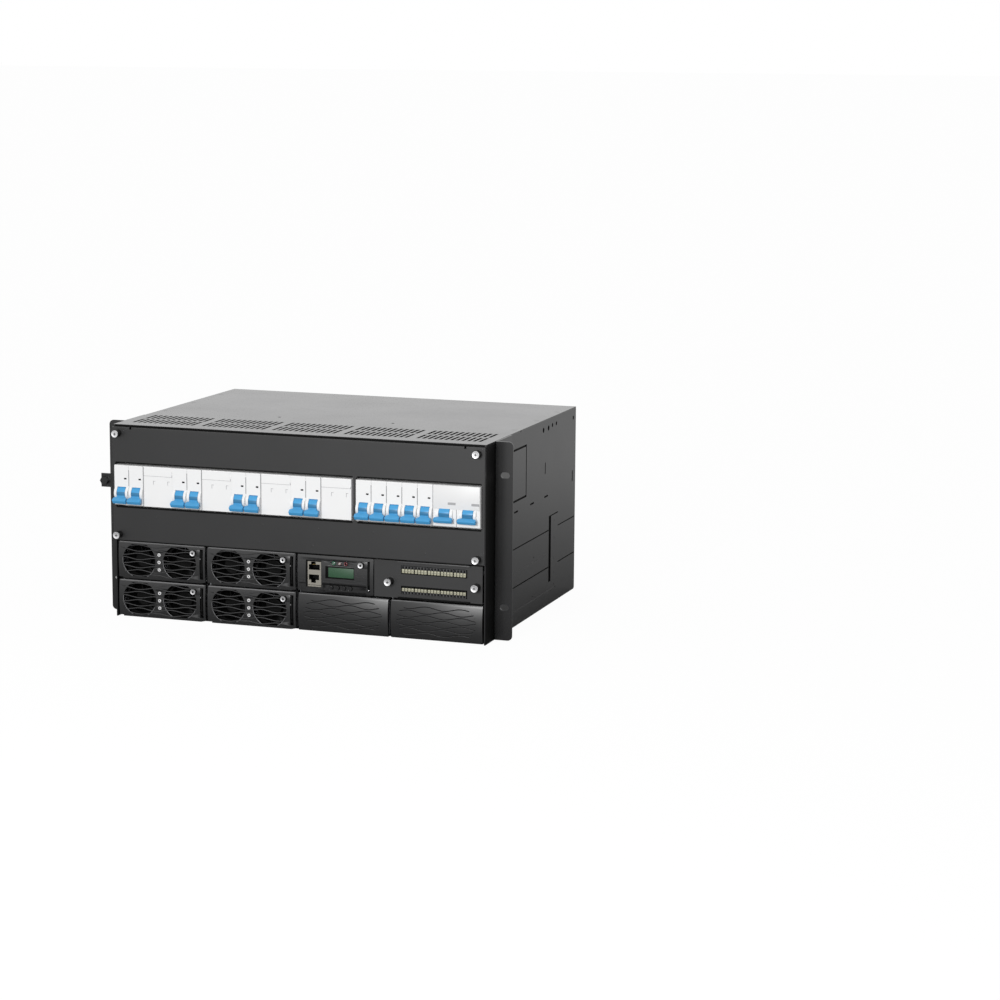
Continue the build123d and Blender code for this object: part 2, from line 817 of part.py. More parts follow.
def breaker_profile(y_face):
    """Side outline of a breaker: nose, shoulders and the notch for the rail."""
    nose, body, notch = breaker_nose_height / 2, breaker_body_height / 2, rail_height / 2 + rail_gap
    with BuildLine() as outline:
        Polyline((y_face, breaker_axis_z - nose), (breaker_shoulder_y, breaker_axis_z - nose),
                 (breaker_shoulder_y, breaker_axis_z - body), (breaker_rear_y, breaker_axis_z - body),
                 (breaker_rear_y, breaker_axis_z - notch),
                 (breaker_rear_y - rail_notch_depth, breaker_axis_z - notch),
                 (breaker_rear_y - rail_notch_depth, breaker_axis_z + notch),
                 (breaker_rear_y, breaker_axis_z + notch), (breaker_rear_y, breaker_axis_z + body),
                 (breaker_shoulder_y, breaker_axis_z + body),
                 (breaker_shoulder_y, breaker_axis_z + nose), (y_face, breaker_axis_z + nose),
                 close=True)
    make_face(outline.edges())


def breaker_body(left, width, stem):
    """One breaker: the moulded body with round cheeks beside the slot of its toggle."""
    middle = left + width / 2
    x_low, x_high = left + breaker_gap / 2, left + width - breaker_gap / 2
    slot = stem / 2 + toggle_side_gap
    with BuildPart() as body:
        with BuildSketch(sideways(x_low)):
            breaker_profile(breaker_y)
        extrude(amount=x_high - x_low)
        top_edge = body.edges().filter_by(Axis.X).group_by(Axis.Y)[0].sort_by(Axis.Z)
        fillet(top_edge, radius=breaker_round)
        rod_x(toggle_y, toggle_z, middle - slot - cheek_width, middle + slot + cheek_width, cheek_r)
        rod_x(toggle_y, toggle_z, middle - slot, middle + slot, toggle_recess_r, Mode.SUBTRACT)
        block((middle - slot, breaker_y - toggle_recess_r, toggle_z - recess_half_height),
              (middle + slot, toggle_y, toggle_z + recess_half_height), Mode.SUBTRACT)
        for z in (breaker_axis_z - breaker_body_height / 2 + terminal_inset,
                  breaker_axis_z + breaker_body_height / 2 - terminal_inset):
            rod_y(middle, z, breaker_shoulder_y, breaker_shoulder_y + terminal_depth, terminal_r,
                  Mode.SUBTRACT)
        flag_z = breaker_axis_z + flag_lift
        flag_x = middle + flag_offset
        block((flag_x - flag_width / 2, breaker_y - cut_over, flag_z - flag_height / 2),
              (flag_x + flag_width / 2, breaker_y + flag_depth, flag_z + flag_height / 2), Mode.SUBTRACT)
    return body.part


def blank_body(left):
    """A snap-on blank two breakers wide, with a raised strip for a label."""
    x_low, x_high = left + breaker_gap / 2, left + blank_modules * breaker_pitch - breaker_gap / 2
    with BuildPart() as body:
        with BuildSketch(sideways(x_low)):
            breaker_profile(breaker_y + label_proud)
        extrude(amount=x_high - x_low)
        high = breaker_axis_z + breaker_nose_height / 2 - label_margin
        block((x_low + label_margin, breaker_y, high - label_height),
              (x_high - label_margin, breaker_y + label_proud, high))
    return body.part


def breaker_layout():
    """Left edge, width and toggle sizes of each breaker from left to right."""
    places = []
    for group in range(left_group_count):
        for i in range(toggles_in_group):
            left = -bank_edge + (group * modules_in_group + i) * breaker_pitch
            places.append((left, breaker_pitch, stem_width, paddle_width))
    for i in range(right_single_count):
        places.append((right_bank_start + i * breaker_pitch, breaker_pitch, stem_width, paddle_width))
    for i in range(wide_count):
        left = bank_edge - (wide_count - i) * wide_breaker_pitch
        places.append((left, wide_breaker_pitch, wide_stem_width, wide_paddle_width))
    return places


def build_breakers():
    """The breaker row and, for each breaker, its own toggle."""
    bodies = [breaker_body(left, width, stem) for left, width, stem, _ in breaker_layout()]
    blanks = [blank_body(-bank_edge + (group * modules_in_group + toggles_in_group) * breaker_pitch)
              for group in range(left_group_count)]
    save(Compound(children=bodies + blanks), "breaker_row")
    for number, (left, width, stem, paddle) in enumerate(breaker_layout(), start=1):
        build_toggle(left + width / 2, stem, paddle, f"toggle_{number:02d}")


def build_toggle(middle, stem, paddle, name):
    """Drum on its axis with a stem that flares into the finger paddle."""
    lever_plane = Plane(origin=(middle, toggle_y, toggle_z), x_dir=(1, 0, 0),
                        z_dir=(0, sin(radians(toggle_angle)), -cos(radians(toggle_angle))))
    with BuildPart() as toggle:
        rod_x(toggle_y, toggle_z, middle - stem / 2, middle + stem / 2, toggle_drum_r)
        with BuildSketch(lever_plane) as outline:
            with BuildLine():
                Polyline((-stem / 2, 0), (stem / 2, 0), (stem / 2, paddle_start),
                         (paddle / 2, paddle_start + paddle_flare), (paddle / 2, paddle_end),
                         (-paddle / 2, paddle_end), (-paddle / 2, paddle_start + paddle_flare),
                         (-stem / 2, paddle_start), close=True)
            make_face()
            fillet(outline.vertices().group_by(Axis.Y)[-1], radius=paddle_round)
        extrude(amount=paddle_thickness / 2, both=True)
    save(toggle.part, name)


def build_rail():
    """Top-hat rail behind the breakers, held to the side walls by a bracket at each end."""
    front = breaker_rear_y - rail_notch_depth + rail_gap
    half, base = rail_height / 2, rail_base_height / 2
    with BuildPart() as rail:
        end = wall_x - rail_end_gap
        with BuildSketch(sideways(-end)):
            with BuildLine():
                Polyline((front, breaker_axis_z - half), (front + rail_sheet, breaker_axis_z - half),
                         (front + rail_sheet, breaker_axis_z - base),
                         (front + rail_depth, breaker_axis_z - base),
                         (front + rail_depth, breaker_axis_z + base),
                         (front + rail_sheet, breaker_axis_z + base),
                         (front + rail_sheet, breaker_axis_z + half),
                         (front, breaker_axis_z + half), (front, breaker_axis_z + base - rail_sheet),
                         (front + rail_depth - rail_sheet, breaker_axis_z + base - rail_sheet),
                         (front + rail_depth - rail_sheet, breaker_axis_z - base + rail_sheet),
                         (front, breaker_axis_z - base + rail_sheet), close=True)
            make_face()
        extrude(amount=2 * end)
        for side in (-1, 1):
            x_low, x_high = sorted((side * (end - rail_bracket_width), side * wall_x))
            block((x_low, front + rail_depth, breaker_axis_z - half),
                  (x_high, front + rail_depth + sheet, breaker_axis_z + half))
            x_low, x_high = sorted((side * (wall_x - sheet), side * wall_x))
            block((x_low, front + rail_depth, breaker_axis_z - half),
                  (x_high, front + rail_depth + rail_bracket_width, breaker_axis_z + half))
    save(rail.part, "din_rail")


def build_busbars():
    """Copper comb bar on the breakers' upper terminals and the return bar on its insulators."""
    shoulder = breaker_axis_z + breaker_body_height / 2
    bar_y = breaker_shoulder_y + bar_depth_place
    with BuildPart() as bars:
        end = bank_edge - bar_end_inset
        block((-end, bar_y, shoulder + bar_lift), (end, bar_y + bar_sheet, shoulder + bar_lift + bar_height))
        for left, width, _, _ in breaker_layout():
            middle = left + width / 2
            block((middle - bar_tab_width / 2, bar_y, shoulder),
                  (middle + bar_tab_width / 2, bar_y + bar_sheet, shoulder + bar_lift + bar_height / 2))
        return_y = breaker_rear_y + return_bar_back
        low = top_shelf_top + insulator_height
        half = return_bar_length / 2
        block((-half, return_y - return_bar_sheet / 2, low),
              (half, return_y + return_bar_sheet / 2, low + return_bar_height))
        with Locations((0, return_y, top_shelf_top + insulator_height / 2)):
            with GridLocations(insulator_spacing, insulator_spacing, insulator_count, 1):
                Cylinder(insulator_r, insulator_height)
        first = -(bar_bolt_count - 1) * bar_bolt_spacing / 2
        for i in range(bar_bolt_count):
            rod_y(first + i * bar_bolt_spacing, low + return_bar_height / 2,
                  return_y - return_bar_sheet / 2 - bolt_head_height, return_y, bolt_head_r)
    save(bars.part, "busbars")


def bezel_profile(width):
    """Front outline of a module: a rectangle whose lower corners step and slope up a little."""
    with BuildLine() as outline:
        Polyline((foot_step, 0), (width - foot_slope, 0), (width, foot_rise), (width, bezel_height),
                 (0, bezel_height), (0, foot_rise), (foot_step, foot_rise), close=True)
    make_face(outline.edges())


def bezel_shell(bezel, width):
    """Moulded front of a module: a face plate with a rim that reaches back to the case."""
    with BuildSketch(upright(front_y)) as face:
        bezel_profile(width)
    extrude(face.sketch, amount=-bezel_depth)
    fillet(bezel.edges().filter_by(Axis.X).group_by(Axis.Y)[0].sort_by(Axis.Z)[-1:], radius=bezel_round)
    block((bezel_wall, front_y + bezel_face, bezel_wall + foot_rise),
          (width - bezel_wall, front_y + bezel_depth + cut_over, bezel_height - bezel_wall), Mode.SUBTRACT)


def lever_opening(slit_x, slit_width):
    """Cuts the slit and the notch in which a locking lever lies, and adds its pivot pin."""
    notch_left = slit_x - lever_screw_offset - lever_tab_half - lever_notch_gap
    notch_low = lever_screw_z - lever_tab_half - lever_notch_gap
    block((slit_x, front_y - cut_over, slit_low), (slit_x + slit_width, front_y + bezel_face, slit_high),
          Mode.SUBTRACT)
    block((notch_left, front_y - cut_over, notch_low), (slit_x + slit_width, front_y + bezel_face, slit_high),
          Mode.SUBTRACT)
    pivot_y, pivot_z = front_y + lever_pivot_back, slit_low + lever_pivot_rise
    rib_far = slit_x + slit_width
    for x_low in (slit_x - bezel_wall, rib_far):
        block((x_low, front_y + bezel_face, bezel_wall),
              (x_low + bezel_wall, front_y + bezel_depth, pivot_z + lever_boss_r))
    rod_x(pivot_y, pivot_z, slit_x - bezel_wall, rib_far + bezel_wall, lever_pivot_r)


def locking_lever(slit_x, slit_width):
    """Locking lever: a plate that swings forward out of its slit, with a screw in its upper tab."""
    pivot_y, pivot_z = front_y + lever_pivot_back, slit_low + lever_pivot_rise
    screw_x = slit_x - lever_screw_offset
    x_low = slit_x + (slit_width - lever_sheet) / 2
    x_high = x_low + lever_sheet
    face_y = front_y + lever_face_gap
    top = slit_high - lever_end_gap
    with BuildPart() as lever:
        with BuildSketch(sideways(x_low)) as plate:
            with BuildLine() as outline:
                Polyline((pivot_y - lever_boss_r, pivot_z), (face_y, pivot_z + lever_heel),
                         (face_y, top), (face_y + lever_depth, top), (face_y + lever_depth, pivot_z),
                         close=True)
            make_face(outline.edges())
        extrude(plate.sketch, amount=lever_sheet)
        rod_x(pivot_y, pivot_z, x_low, x_high, lever_boss_r)
        rod_x(pivot_y, pivot_z, x_low - cut_over, x_high + cut_over, lever_pivot_r + lever_bore_gap,
              Mode.SUBTRACT)
        block((screw_x - lever_tab_half, face_y, lever_screw_z - lever_tab_half),
              (x_high, face_y + lever_sheet, lever_screw_z + lever_tab_half))
        rod_y(screw_x, lever_screw_z, face_y - lever_head_length, face_y, lever_head_r)
        rod_y(screw_x, lever_screw_z, face_y, face_y + lever_shank_reach, lever_shank_r)
        cross_slot(screw_x, lever_screw_z, face_y - lever_head_length, lever_head_r)
    return lever.part


def rectifier_bezel():
    """Rectifier front: two fan grilles with wavy bars, three lamps and the lever's slit."""
    with BuildPart() as bezel:
        bezel_shell(bezel, bezel_width)
        with BuildSketch(upright(front_y - cut_over)):
            with Locations(*[(x, fan_z) for x in fan_x]):
                Circle(grille_r)
            span = fan_x[1] - fan_x[0] + 2 * grille_r
            with Locations(((fan_x[0] + fan_x[1]) / 2, fan_z)):
                Rectangle(span, 2 * grille_half_height, mode=Mode.INTERSECT)
            for i in range(wave_count):
                middle = fan_z + (i - (wave_count - 1) / 2) * wave_pitch
                wavy_bar(fan_x[0] - grille_r - wave_width, fan_x[1] + grille_r + wave_width, middle, i,
                         wave_width, Mode.SUBTRACT)
        extrude(amount=-cut_over - bezel_face, mode=Mode.SUBTRACT)
        lever_opening(rectifier_slit_x, rectifier_slit_width)
        for z in lamp_z:
            rod_y(lamp_x, z, front_y - cut_over, front_y + bezel_depth, lamp_r, Mode.SUBTRACT)
    with BuildPart() as lamps:
        for z in lamp_z:
            rod_y(lamp_x, z, front_y - lamp_proud, front_y + bezel_face, lamp_r)
    return Compound(children=[*bezel.part.solids(), *lamps.part.solids()])


def module_shell(left, width):
    """Sheet case of a module, open at the front, with its contact tongue at the rear."""
    low, high = case_bottom_inset, case_bottom_inset + case_height
    block((left, case_y, low), (left + width, case_rear_y, high))
    block((left + case_sheet, case_y - cut_over, low + case_sheet),
          (left + width - case_sheet, case_rear_y - case_sheet, high - case_sheet), Mode.SUBTRACT)


def rectifier_case():
    """Rectifier case with its exhaust slots, fan frames, heat sink and circuit board inside."""
    low = case_bottom_inset + case_sheet + seat_gap
    left, right = case_side_inset, bezel_width - case_side_inset
    board_left, board_right = left + case_sheet + seat_gap, right - case_sheet - seat_gap
    frame_y = case_y + fan_back
    with BuildPart() as case:
        module_shell(left, right - left)
        with BuildSketch(upright(case_rear_y - cut_over)):
            with Locations((bezel_width / 2, case_bottom_inset + case_height / 2)):
                with GridLocations(case_slot_pitch, case_slot_height, case_slot_count, 1):
                    SlotOverall(case_slot_height, case_slot_width, rotation=90)
        extrude(amount=-2 * cut_over, mode=Mode.SUBTRACT)
        rear_plug(bezel_width / 2, case_bottom_inset + case_height / 2)
    with BuildPart() as inside:
        for x in fan_x:
            half = fan_frame / 2
            block((x - half, frame_y, fan_z - half), (x + half, frame_y + fan_frame_depth, fan_z + half))
            rod_y(x, fan_z, frame_y - cut_over, frame_y + fan_frame_depth + cut_over, fan_duct_r,
                  Mode.SUBTRACT)
            motor_y = frame_y + fan_frame_depth - fan_motor_depth
            rod_y(x, fan_z, motor_y, frame_y + fan_frame_depth, fan_hub_r)
            strut = fan_strut_width / 2
            block((x - strut, motor_y, fan_z - half), (x + strut, frame_y + fan_frame_depth, fan_z + half))
            block((x - half, motor_y, fan_z - strut), (x + half, frame_y + fan_frame_depth, fan_z + strut))
            rod_y(x, fan_z, motor_y - fan_strut_width, motor_y + cut_over, fan_shaft_r + fan_bore_gap,
                  Mode.SUBTRACT)
        block((board_left, frame_y + fan_frame_depth, low),
              (board_right, case_rear_y - case_sheet - seat_gap, low + board_sheet))
        sink_x = (bezel_width - heat_sink_width) / 2
        base = low + board_sheet
        block((sink_x, case_y + heat_sink_front, base),
              (sink_x + heat_sink_width, case_y + heat_sink_back, base + heat_sink_base))
        fin_step = (heat_sink_width - heat_sink_fin) / (heat_sink_fin_count - 1)
        for i in range(heat_sink_fin_count):
            block((sink_x + i * fin_step, case_y + heat_sink_front, base),
                  (sink_x + i * fin_step + heat_sink_fin, case_y + heat_sink_back, base + heat_sink_height))
    return Compound(children=[*case.part.solids(), *inside.part.solids()])


def fan_rotor(x):
    """Fan rotor: hub, leaning blades and the shaft that turns in the frame's motor plate."""
    front = case_y + fan_back + fan_frame_depth - fan_motor_depth - fan_motor_gap - fan_hub_depth
    middle_y = front + fan_hub_depth / 2
    with BuildPart() as rotor:
        rod_y(x, fan_z, front, front + fan_hub_depth, fan_hub_r)
        rod_y(x, fan_z, front, front + fan_hub_depth + fan_motor_gap + fan_motor_depth, fan_shaft_r)
        blade = Location((x, middle_y, fan_z))
        for i in range(fan_blade_count):
            turn = 360 * i / fan_blade_count
            reach = (fan_blade_r + fan_hub_r / 2) / 2
            with Locations(blade * Location((0, 0, 0), (0, turn, 0)) * Location((0, 0, reach))
                           * Location((0, 0, 0), (0, 0, fan_blade_lean))):
                Box(fan_blade_width, fan_blade_sheet, fan_blade_r - fan_hub_r / 2)
        with BuildSketch(upright(front - cut_over)):
            with Locations((x, fan_z)):
                Circle(fan_blade_r)
        extrude(amount=-(fan_hub_depth + 2 * cut_over), mode=Mode.INTERSECT)
    return rotor.part


def build_rectifiers():
    """Four alike rectifiers: two columns in both rows."""
    pieces = {
        "case": rectifier_case(),
        "bezel": rectifier_bezel(),
        "lever": locking_lever(rectifier_slit_x, rectifier_slit_width),
        "rotor_left": fan_rotor(fan_x[0]),
        "rotor_right": fan_rotor(fan_x[1]),
    }
    places = [Location((x, 0, z)) for z in reversed(row_z) for x in column_x[:2]]
    for number, place in enumerate(places, start=1):
        for role, piece in pieces.items():
            save(piece, f"rectifier_{number}_{role}", place)


def build_controller():
    """Controller: case, bezel, ports, display, four keys and its locking lever."""
    place = Location((column_x[2], 0, row_z[1]))
    with BuildPart() as case:
        module_shell(case_side_inset, controller_width - 2 * case_side_inset)
        board_z = case_bottom_inset + board_lift
        block((case_side_inset + case_sheet, case_y + jack_depth, board_z),
              (controller_width - case_side_inset - case_sheet, case_rear_y - case_sheet,
               board_z + board_sheet))
        rear_plug(bezel_width / 2, case_bottom_inset + case_height / 2)
    save(case.part, "controller_case", place)

    with BuildPart() as bezel:
        bezel_shell(bezel, controller_width)
        block((jack_window_x, front_y - cut_over, jack_window_z),
              (jack_window_x + jack_window_width, front_y + bezel_face, jack_window_z + jack_window_height),
              Mode.SUBTRACT)
        block((display_x, front_y - cut_over, display_z),
              (display_x + display_width, front_y + bezel_face, display_z + display_height), Mode.SUBTRACT)
        block((jack_window_x + jack_window_width + ledge_margin, front_y - cut_over, -cut_over),
              (controller_slit_x - ledge_margin, front_y + ledge_step, ledge_z), Mode.SUBTRACT)
        for x in key_x:
            rod_y(x, key_z, front_y - cut_over, front_y + bezel_face + cut_over, key_r + key_gap,
                  Mode.SUBTRACT)
        for x in controller_lamp_x:
            rod_y(x, controller_lamp_z, front_y - cut_over, front_y + bezel_face, controller_lamp_r,
                  Mode.SUBTRACT)
        lever_opening(controller_slit_x, controller_slit_width)
    with BuildPart() as lamps:
        for x in controller_lamp_x:
            rod_y(x, controller_lamp_z, front_y - lamp_proud, front_y + bezel_face, controller_lamp_r)
    save(Compound(children=[*bezel.part.solids(), *lamps.part.solids()]), "controller_bezel", place)

    with BuildPart() as jacks:
        low, high = jack_window_z + jack_fit, jack_window_z + jack_window_height - jack_fit
        left, right = jack_window_x + jack_fit, jack_window_x + jack_window_width - jack_fit
        face = front_y + jack_back
        block((left, face, low), (right, face + jack_depth, high))
        middle = (left + right) / 2
        for z in port_z:
            block((middle - port_width / 2, face - cut_over, z - port_height / 2),
                  (middle + port_width / 2, face + port_depth, z + port_height / 2), Mode.SUBTRACT)
            block((middle - port_key_width / 2, face - cut_over, z - port_height / 2 - port_key_height),
                  (middle + port_key_width / 2, face + port_depth, z), Mode.SUBTRACT)
    save(jacks.part, "controller_ports", place)

    with BuildPart() as display:
        board_y = front_y + front_board_back
        block((display_x - front_board_side, board_y, front_board_margin),
              (controller_slit_x - front_board_gap, board_y + board_sheet, bezel_height - front_board_margin))
        block((display_x + display_fit, front_y + display_back, display_z + display_fit),
              (display_x + display_width - display_fit, board_y,
               display_z + display_height - display_fit))
    save(display.part, "controller_display", place)

    for number, x in enumerate(key_x, start=1):
        with BuildPart() as key:
            flange_y = front_y + bezel_face + seat_gap
            rod_y(x, key_z, front_y - key_proud, front_y + key_reach, key_r)
            rod_y(x, key_z, flange_y, flange_y + key_flange_sheet, key_flange_r)
            fillet(key.edges().filter_by(GeomType.CIRCLE).group_by(Axis.Y)[0], radius=head_round)
        save(key.part, f"controller_key_{number}", place)
    save(locking_lever(controller_slit_x, controller_slit_width), "controller_lever", place)


def build_card():
    """Input and output card: a bent panel with its board, two captive screws and ten terminal blocks."""
    with BuildPart() as panel:
        block((card_left, front_y, card_low), (card_right, front_y + sheet, card_high))
        block((card_left, front_y, card_low), (card_right, front_y + card_tray_depth, card_low + lid_sheet))
        for low in card_window_z:
            block((card_window_left, front_y - cut_over, low),
                  (card_window_right, front_y + sheet, low + card_window_height), Mode.SUBTRACT)
        for low, high in ((card_low, card_low + card_lip_sheet), (card_high - card_lip_sheet, card_high)):
            block((card_window_left - card_lip_margin, front_y - card_lip_depth, low),
                  (card_window_right + card_lip_margin, front_y, high))
        for x in card_screw_x:
            captive_screw(x, card_screw_z, front_y, card_screw_reach)
        block((card_window_left, front_y + card_board_back, card_low + lid_sheet),
              (card_window_right, front_y + card_board_back + board_sheet, card_high - card_lip_sheet))
    save(panel.part, "io_panel")

    with BuildPart() as terminals:
        half_w, half_h = terminal_width / 2, terminal_height / 2
        span = (terminal_count - 1) * terminal_pitch
        first = (card_window_left + card_window_right - span) / 2
        for row, low in enumerate(card_window_z):
            z = low + card_window_height / 2
            face = front_y - terminal_proud
            pole_side = 1 if row else -1
            for i in range(terminal_count):
                x = first + i * terminal_pitch
                block((x - half_w, face, z - half_h), (x + half_w, front_y + card_board_back, z + half_h))
                for pole in range(pole_count):
                    at = x + (pole - (pole_count - 1) / 2) * terminal_width / pole_count
                    pole_z = z + pole_side * (half_h - pole_height)
                    block((at - pole_width / 2, face - cut_over, pole_z - pole_height / 2),
                          (at + pole_width / 2, face + pole_depth, pole_z + pole_height / 2), Mode.SUBTRACT)
                    button_z = z - pole_side * (half_h - pole_height)
                    block((at - button_width / 2, face - cut_over, button_z - button_height / 2),
                          (at + button_width / 2, face + button_depth, button_z + button_height / 2),
                          Mode.SUBTRACT)
    save(terminals.part, "io_terminals")


def blank_filler():
    """Blank filler for an empty bay: a module's front with grooved waves and two spring clips."""
    with BuildPart() as filler:
        bezel_shell(filler, bezel_width)
        with BuildSketch(upright(front_y)):
            with Locations((bezel_width / 2, bezel_height / 2)):
                SlotOverall(filler_oval_width, filler_oval_height)
            for i in range(filler_groove_count + 1):
                middle = bezel_height / 2 + (i - filler_groove_count / 2) * wave_pitch
                wavy_bar(0, bezel_width, middle, i, wave_pitch - filler_groove_width, Mode.SUBTRACT)
        extrude(amount=-filler_groove_depth, mode=Mode.SUBTRACT)
        for x in (filler_clip_inset, bezel_width - filler_clip_inset - filler_clip_width):
            block((x, front_y + bezel_face, case_bottom_inset),
                  (x + filler_clip_width, front_y + bezel_depth + filler_clip_length,
                   case_bottom_inset + filler_clip_sheet))
    return filler.part


if __name__ == "__main__":
    build_chassis()
    build_top_cover()
    build_ear(-1, "rack_ear_left")
    build_ear(1, "rack_ear_right")
    build_screws()
    build_cage()
    build_backplane()
    build_front_cover()
    build_breakers()
    build_rail()
    build_busbars()
    build_rectifiers()
    build_controller()
    build_card()
    filler = blank_filler()
    for number, column in enumerate(column_x[2:], start=1):
        save(filler, f"blank_filler_{number}", Location((column, 0, row_z[0])))
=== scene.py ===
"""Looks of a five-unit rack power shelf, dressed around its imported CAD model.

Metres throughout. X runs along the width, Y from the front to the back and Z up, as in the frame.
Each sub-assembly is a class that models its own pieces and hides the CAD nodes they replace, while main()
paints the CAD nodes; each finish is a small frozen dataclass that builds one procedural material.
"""

import json
import logging
import math
from collections.abc import Callable, Iterable
from dataclasses import dataclass
from enum import Enum

import bpy
from mathutils import Matrix, Vector

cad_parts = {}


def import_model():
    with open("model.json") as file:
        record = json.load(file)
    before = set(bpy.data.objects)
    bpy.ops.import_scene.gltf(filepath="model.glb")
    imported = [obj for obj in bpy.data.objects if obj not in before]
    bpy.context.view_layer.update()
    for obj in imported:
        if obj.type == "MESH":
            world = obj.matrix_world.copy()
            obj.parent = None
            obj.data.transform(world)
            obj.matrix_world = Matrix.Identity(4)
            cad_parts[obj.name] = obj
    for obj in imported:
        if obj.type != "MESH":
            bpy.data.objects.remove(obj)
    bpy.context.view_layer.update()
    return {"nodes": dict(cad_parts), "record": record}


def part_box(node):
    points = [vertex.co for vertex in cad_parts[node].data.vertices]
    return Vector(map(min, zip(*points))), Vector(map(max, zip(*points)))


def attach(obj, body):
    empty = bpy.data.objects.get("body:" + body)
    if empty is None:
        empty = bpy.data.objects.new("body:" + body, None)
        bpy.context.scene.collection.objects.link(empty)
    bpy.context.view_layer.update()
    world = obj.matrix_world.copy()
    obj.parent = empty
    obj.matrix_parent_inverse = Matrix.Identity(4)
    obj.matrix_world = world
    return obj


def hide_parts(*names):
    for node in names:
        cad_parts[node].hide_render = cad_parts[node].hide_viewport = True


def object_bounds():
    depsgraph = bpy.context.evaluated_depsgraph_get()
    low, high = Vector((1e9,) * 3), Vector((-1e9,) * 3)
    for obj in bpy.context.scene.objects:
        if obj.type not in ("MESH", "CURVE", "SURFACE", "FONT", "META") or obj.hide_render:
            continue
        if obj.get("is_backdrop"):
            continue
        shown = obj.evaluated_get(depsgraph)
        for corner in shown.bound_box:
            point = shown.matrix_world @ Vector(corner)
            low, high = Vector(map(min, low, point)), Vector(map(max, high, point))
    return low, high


MM = 0.001
LOG = logging.getLogger("power_shelf")
BEVELLED = math.radians(35)
SMOOTHED = math.radians(40)
ROUNDED = math.radians(60)
FLAT = math.radians(0.5)
SQUARE = 0.9
WHITE = (1.0, 1.0, 1.0, 1.0)
WELDED = 0.002 * MM
RECTIFIERS = [f"rectifier_{number}" for number in range(1, 5)]
FILLERS = [f"blank_filler_{number}" for number in range(1, 3)]

Pair = tuple[float, float]
Triple = tuple[float, float, float]
Quad = tuple[float, float, float, float]
Colour = Triple
Socket = bpy.types.NodeSocket
Material = bpy.types.Material
Choice = Callable[[Vector, Vector], bool]
Piece = bpy.types.Object
Shown = tuple[str, Piece, str, Material | None, str | None]


class Way(Enum):
    """The two directions in which a round piece can point."""

    ACROSS = (0.0, math.pi / 2, 0.0)
    DEEP = (math.pi / 2, 0.0, 0.0)


class Grain(Enum):
    """How coarse the skin of a finish is, in features to the metre."""

    POWDER = 1400.0
    MOULDED = 2600.0
    ROLLED = 420.0


# Finishes


class Nodes:
    """A node tree while it is being built."""

    def __init__(self, tree: bpy.types.NodeTree) -> None:
        """Starts work on a tree."""
        self.tree = tree

    def add(self, kind: str, values: dict[str | int, object] | None = None,
            **settings: object) -> bpy.types.Node:
        """Adds a node.

        Args:
            kind: the node's type.
            values: what its input sockets are set to, by their names or numbers.
            settings: its properties.

        Returns:
            The node.
        """
        node = self.tree.nodes.new(kind)
        for key, value in settings.items():
            setattr(node, key, value)
        for socket, value in (values or {}).items():
            node.inputs[socket].default_value = value
        return node

    def join(self, source: Socket, target: Socket) -> None:
        """Links two sockets."""
        self.tree.links.new(source, target)


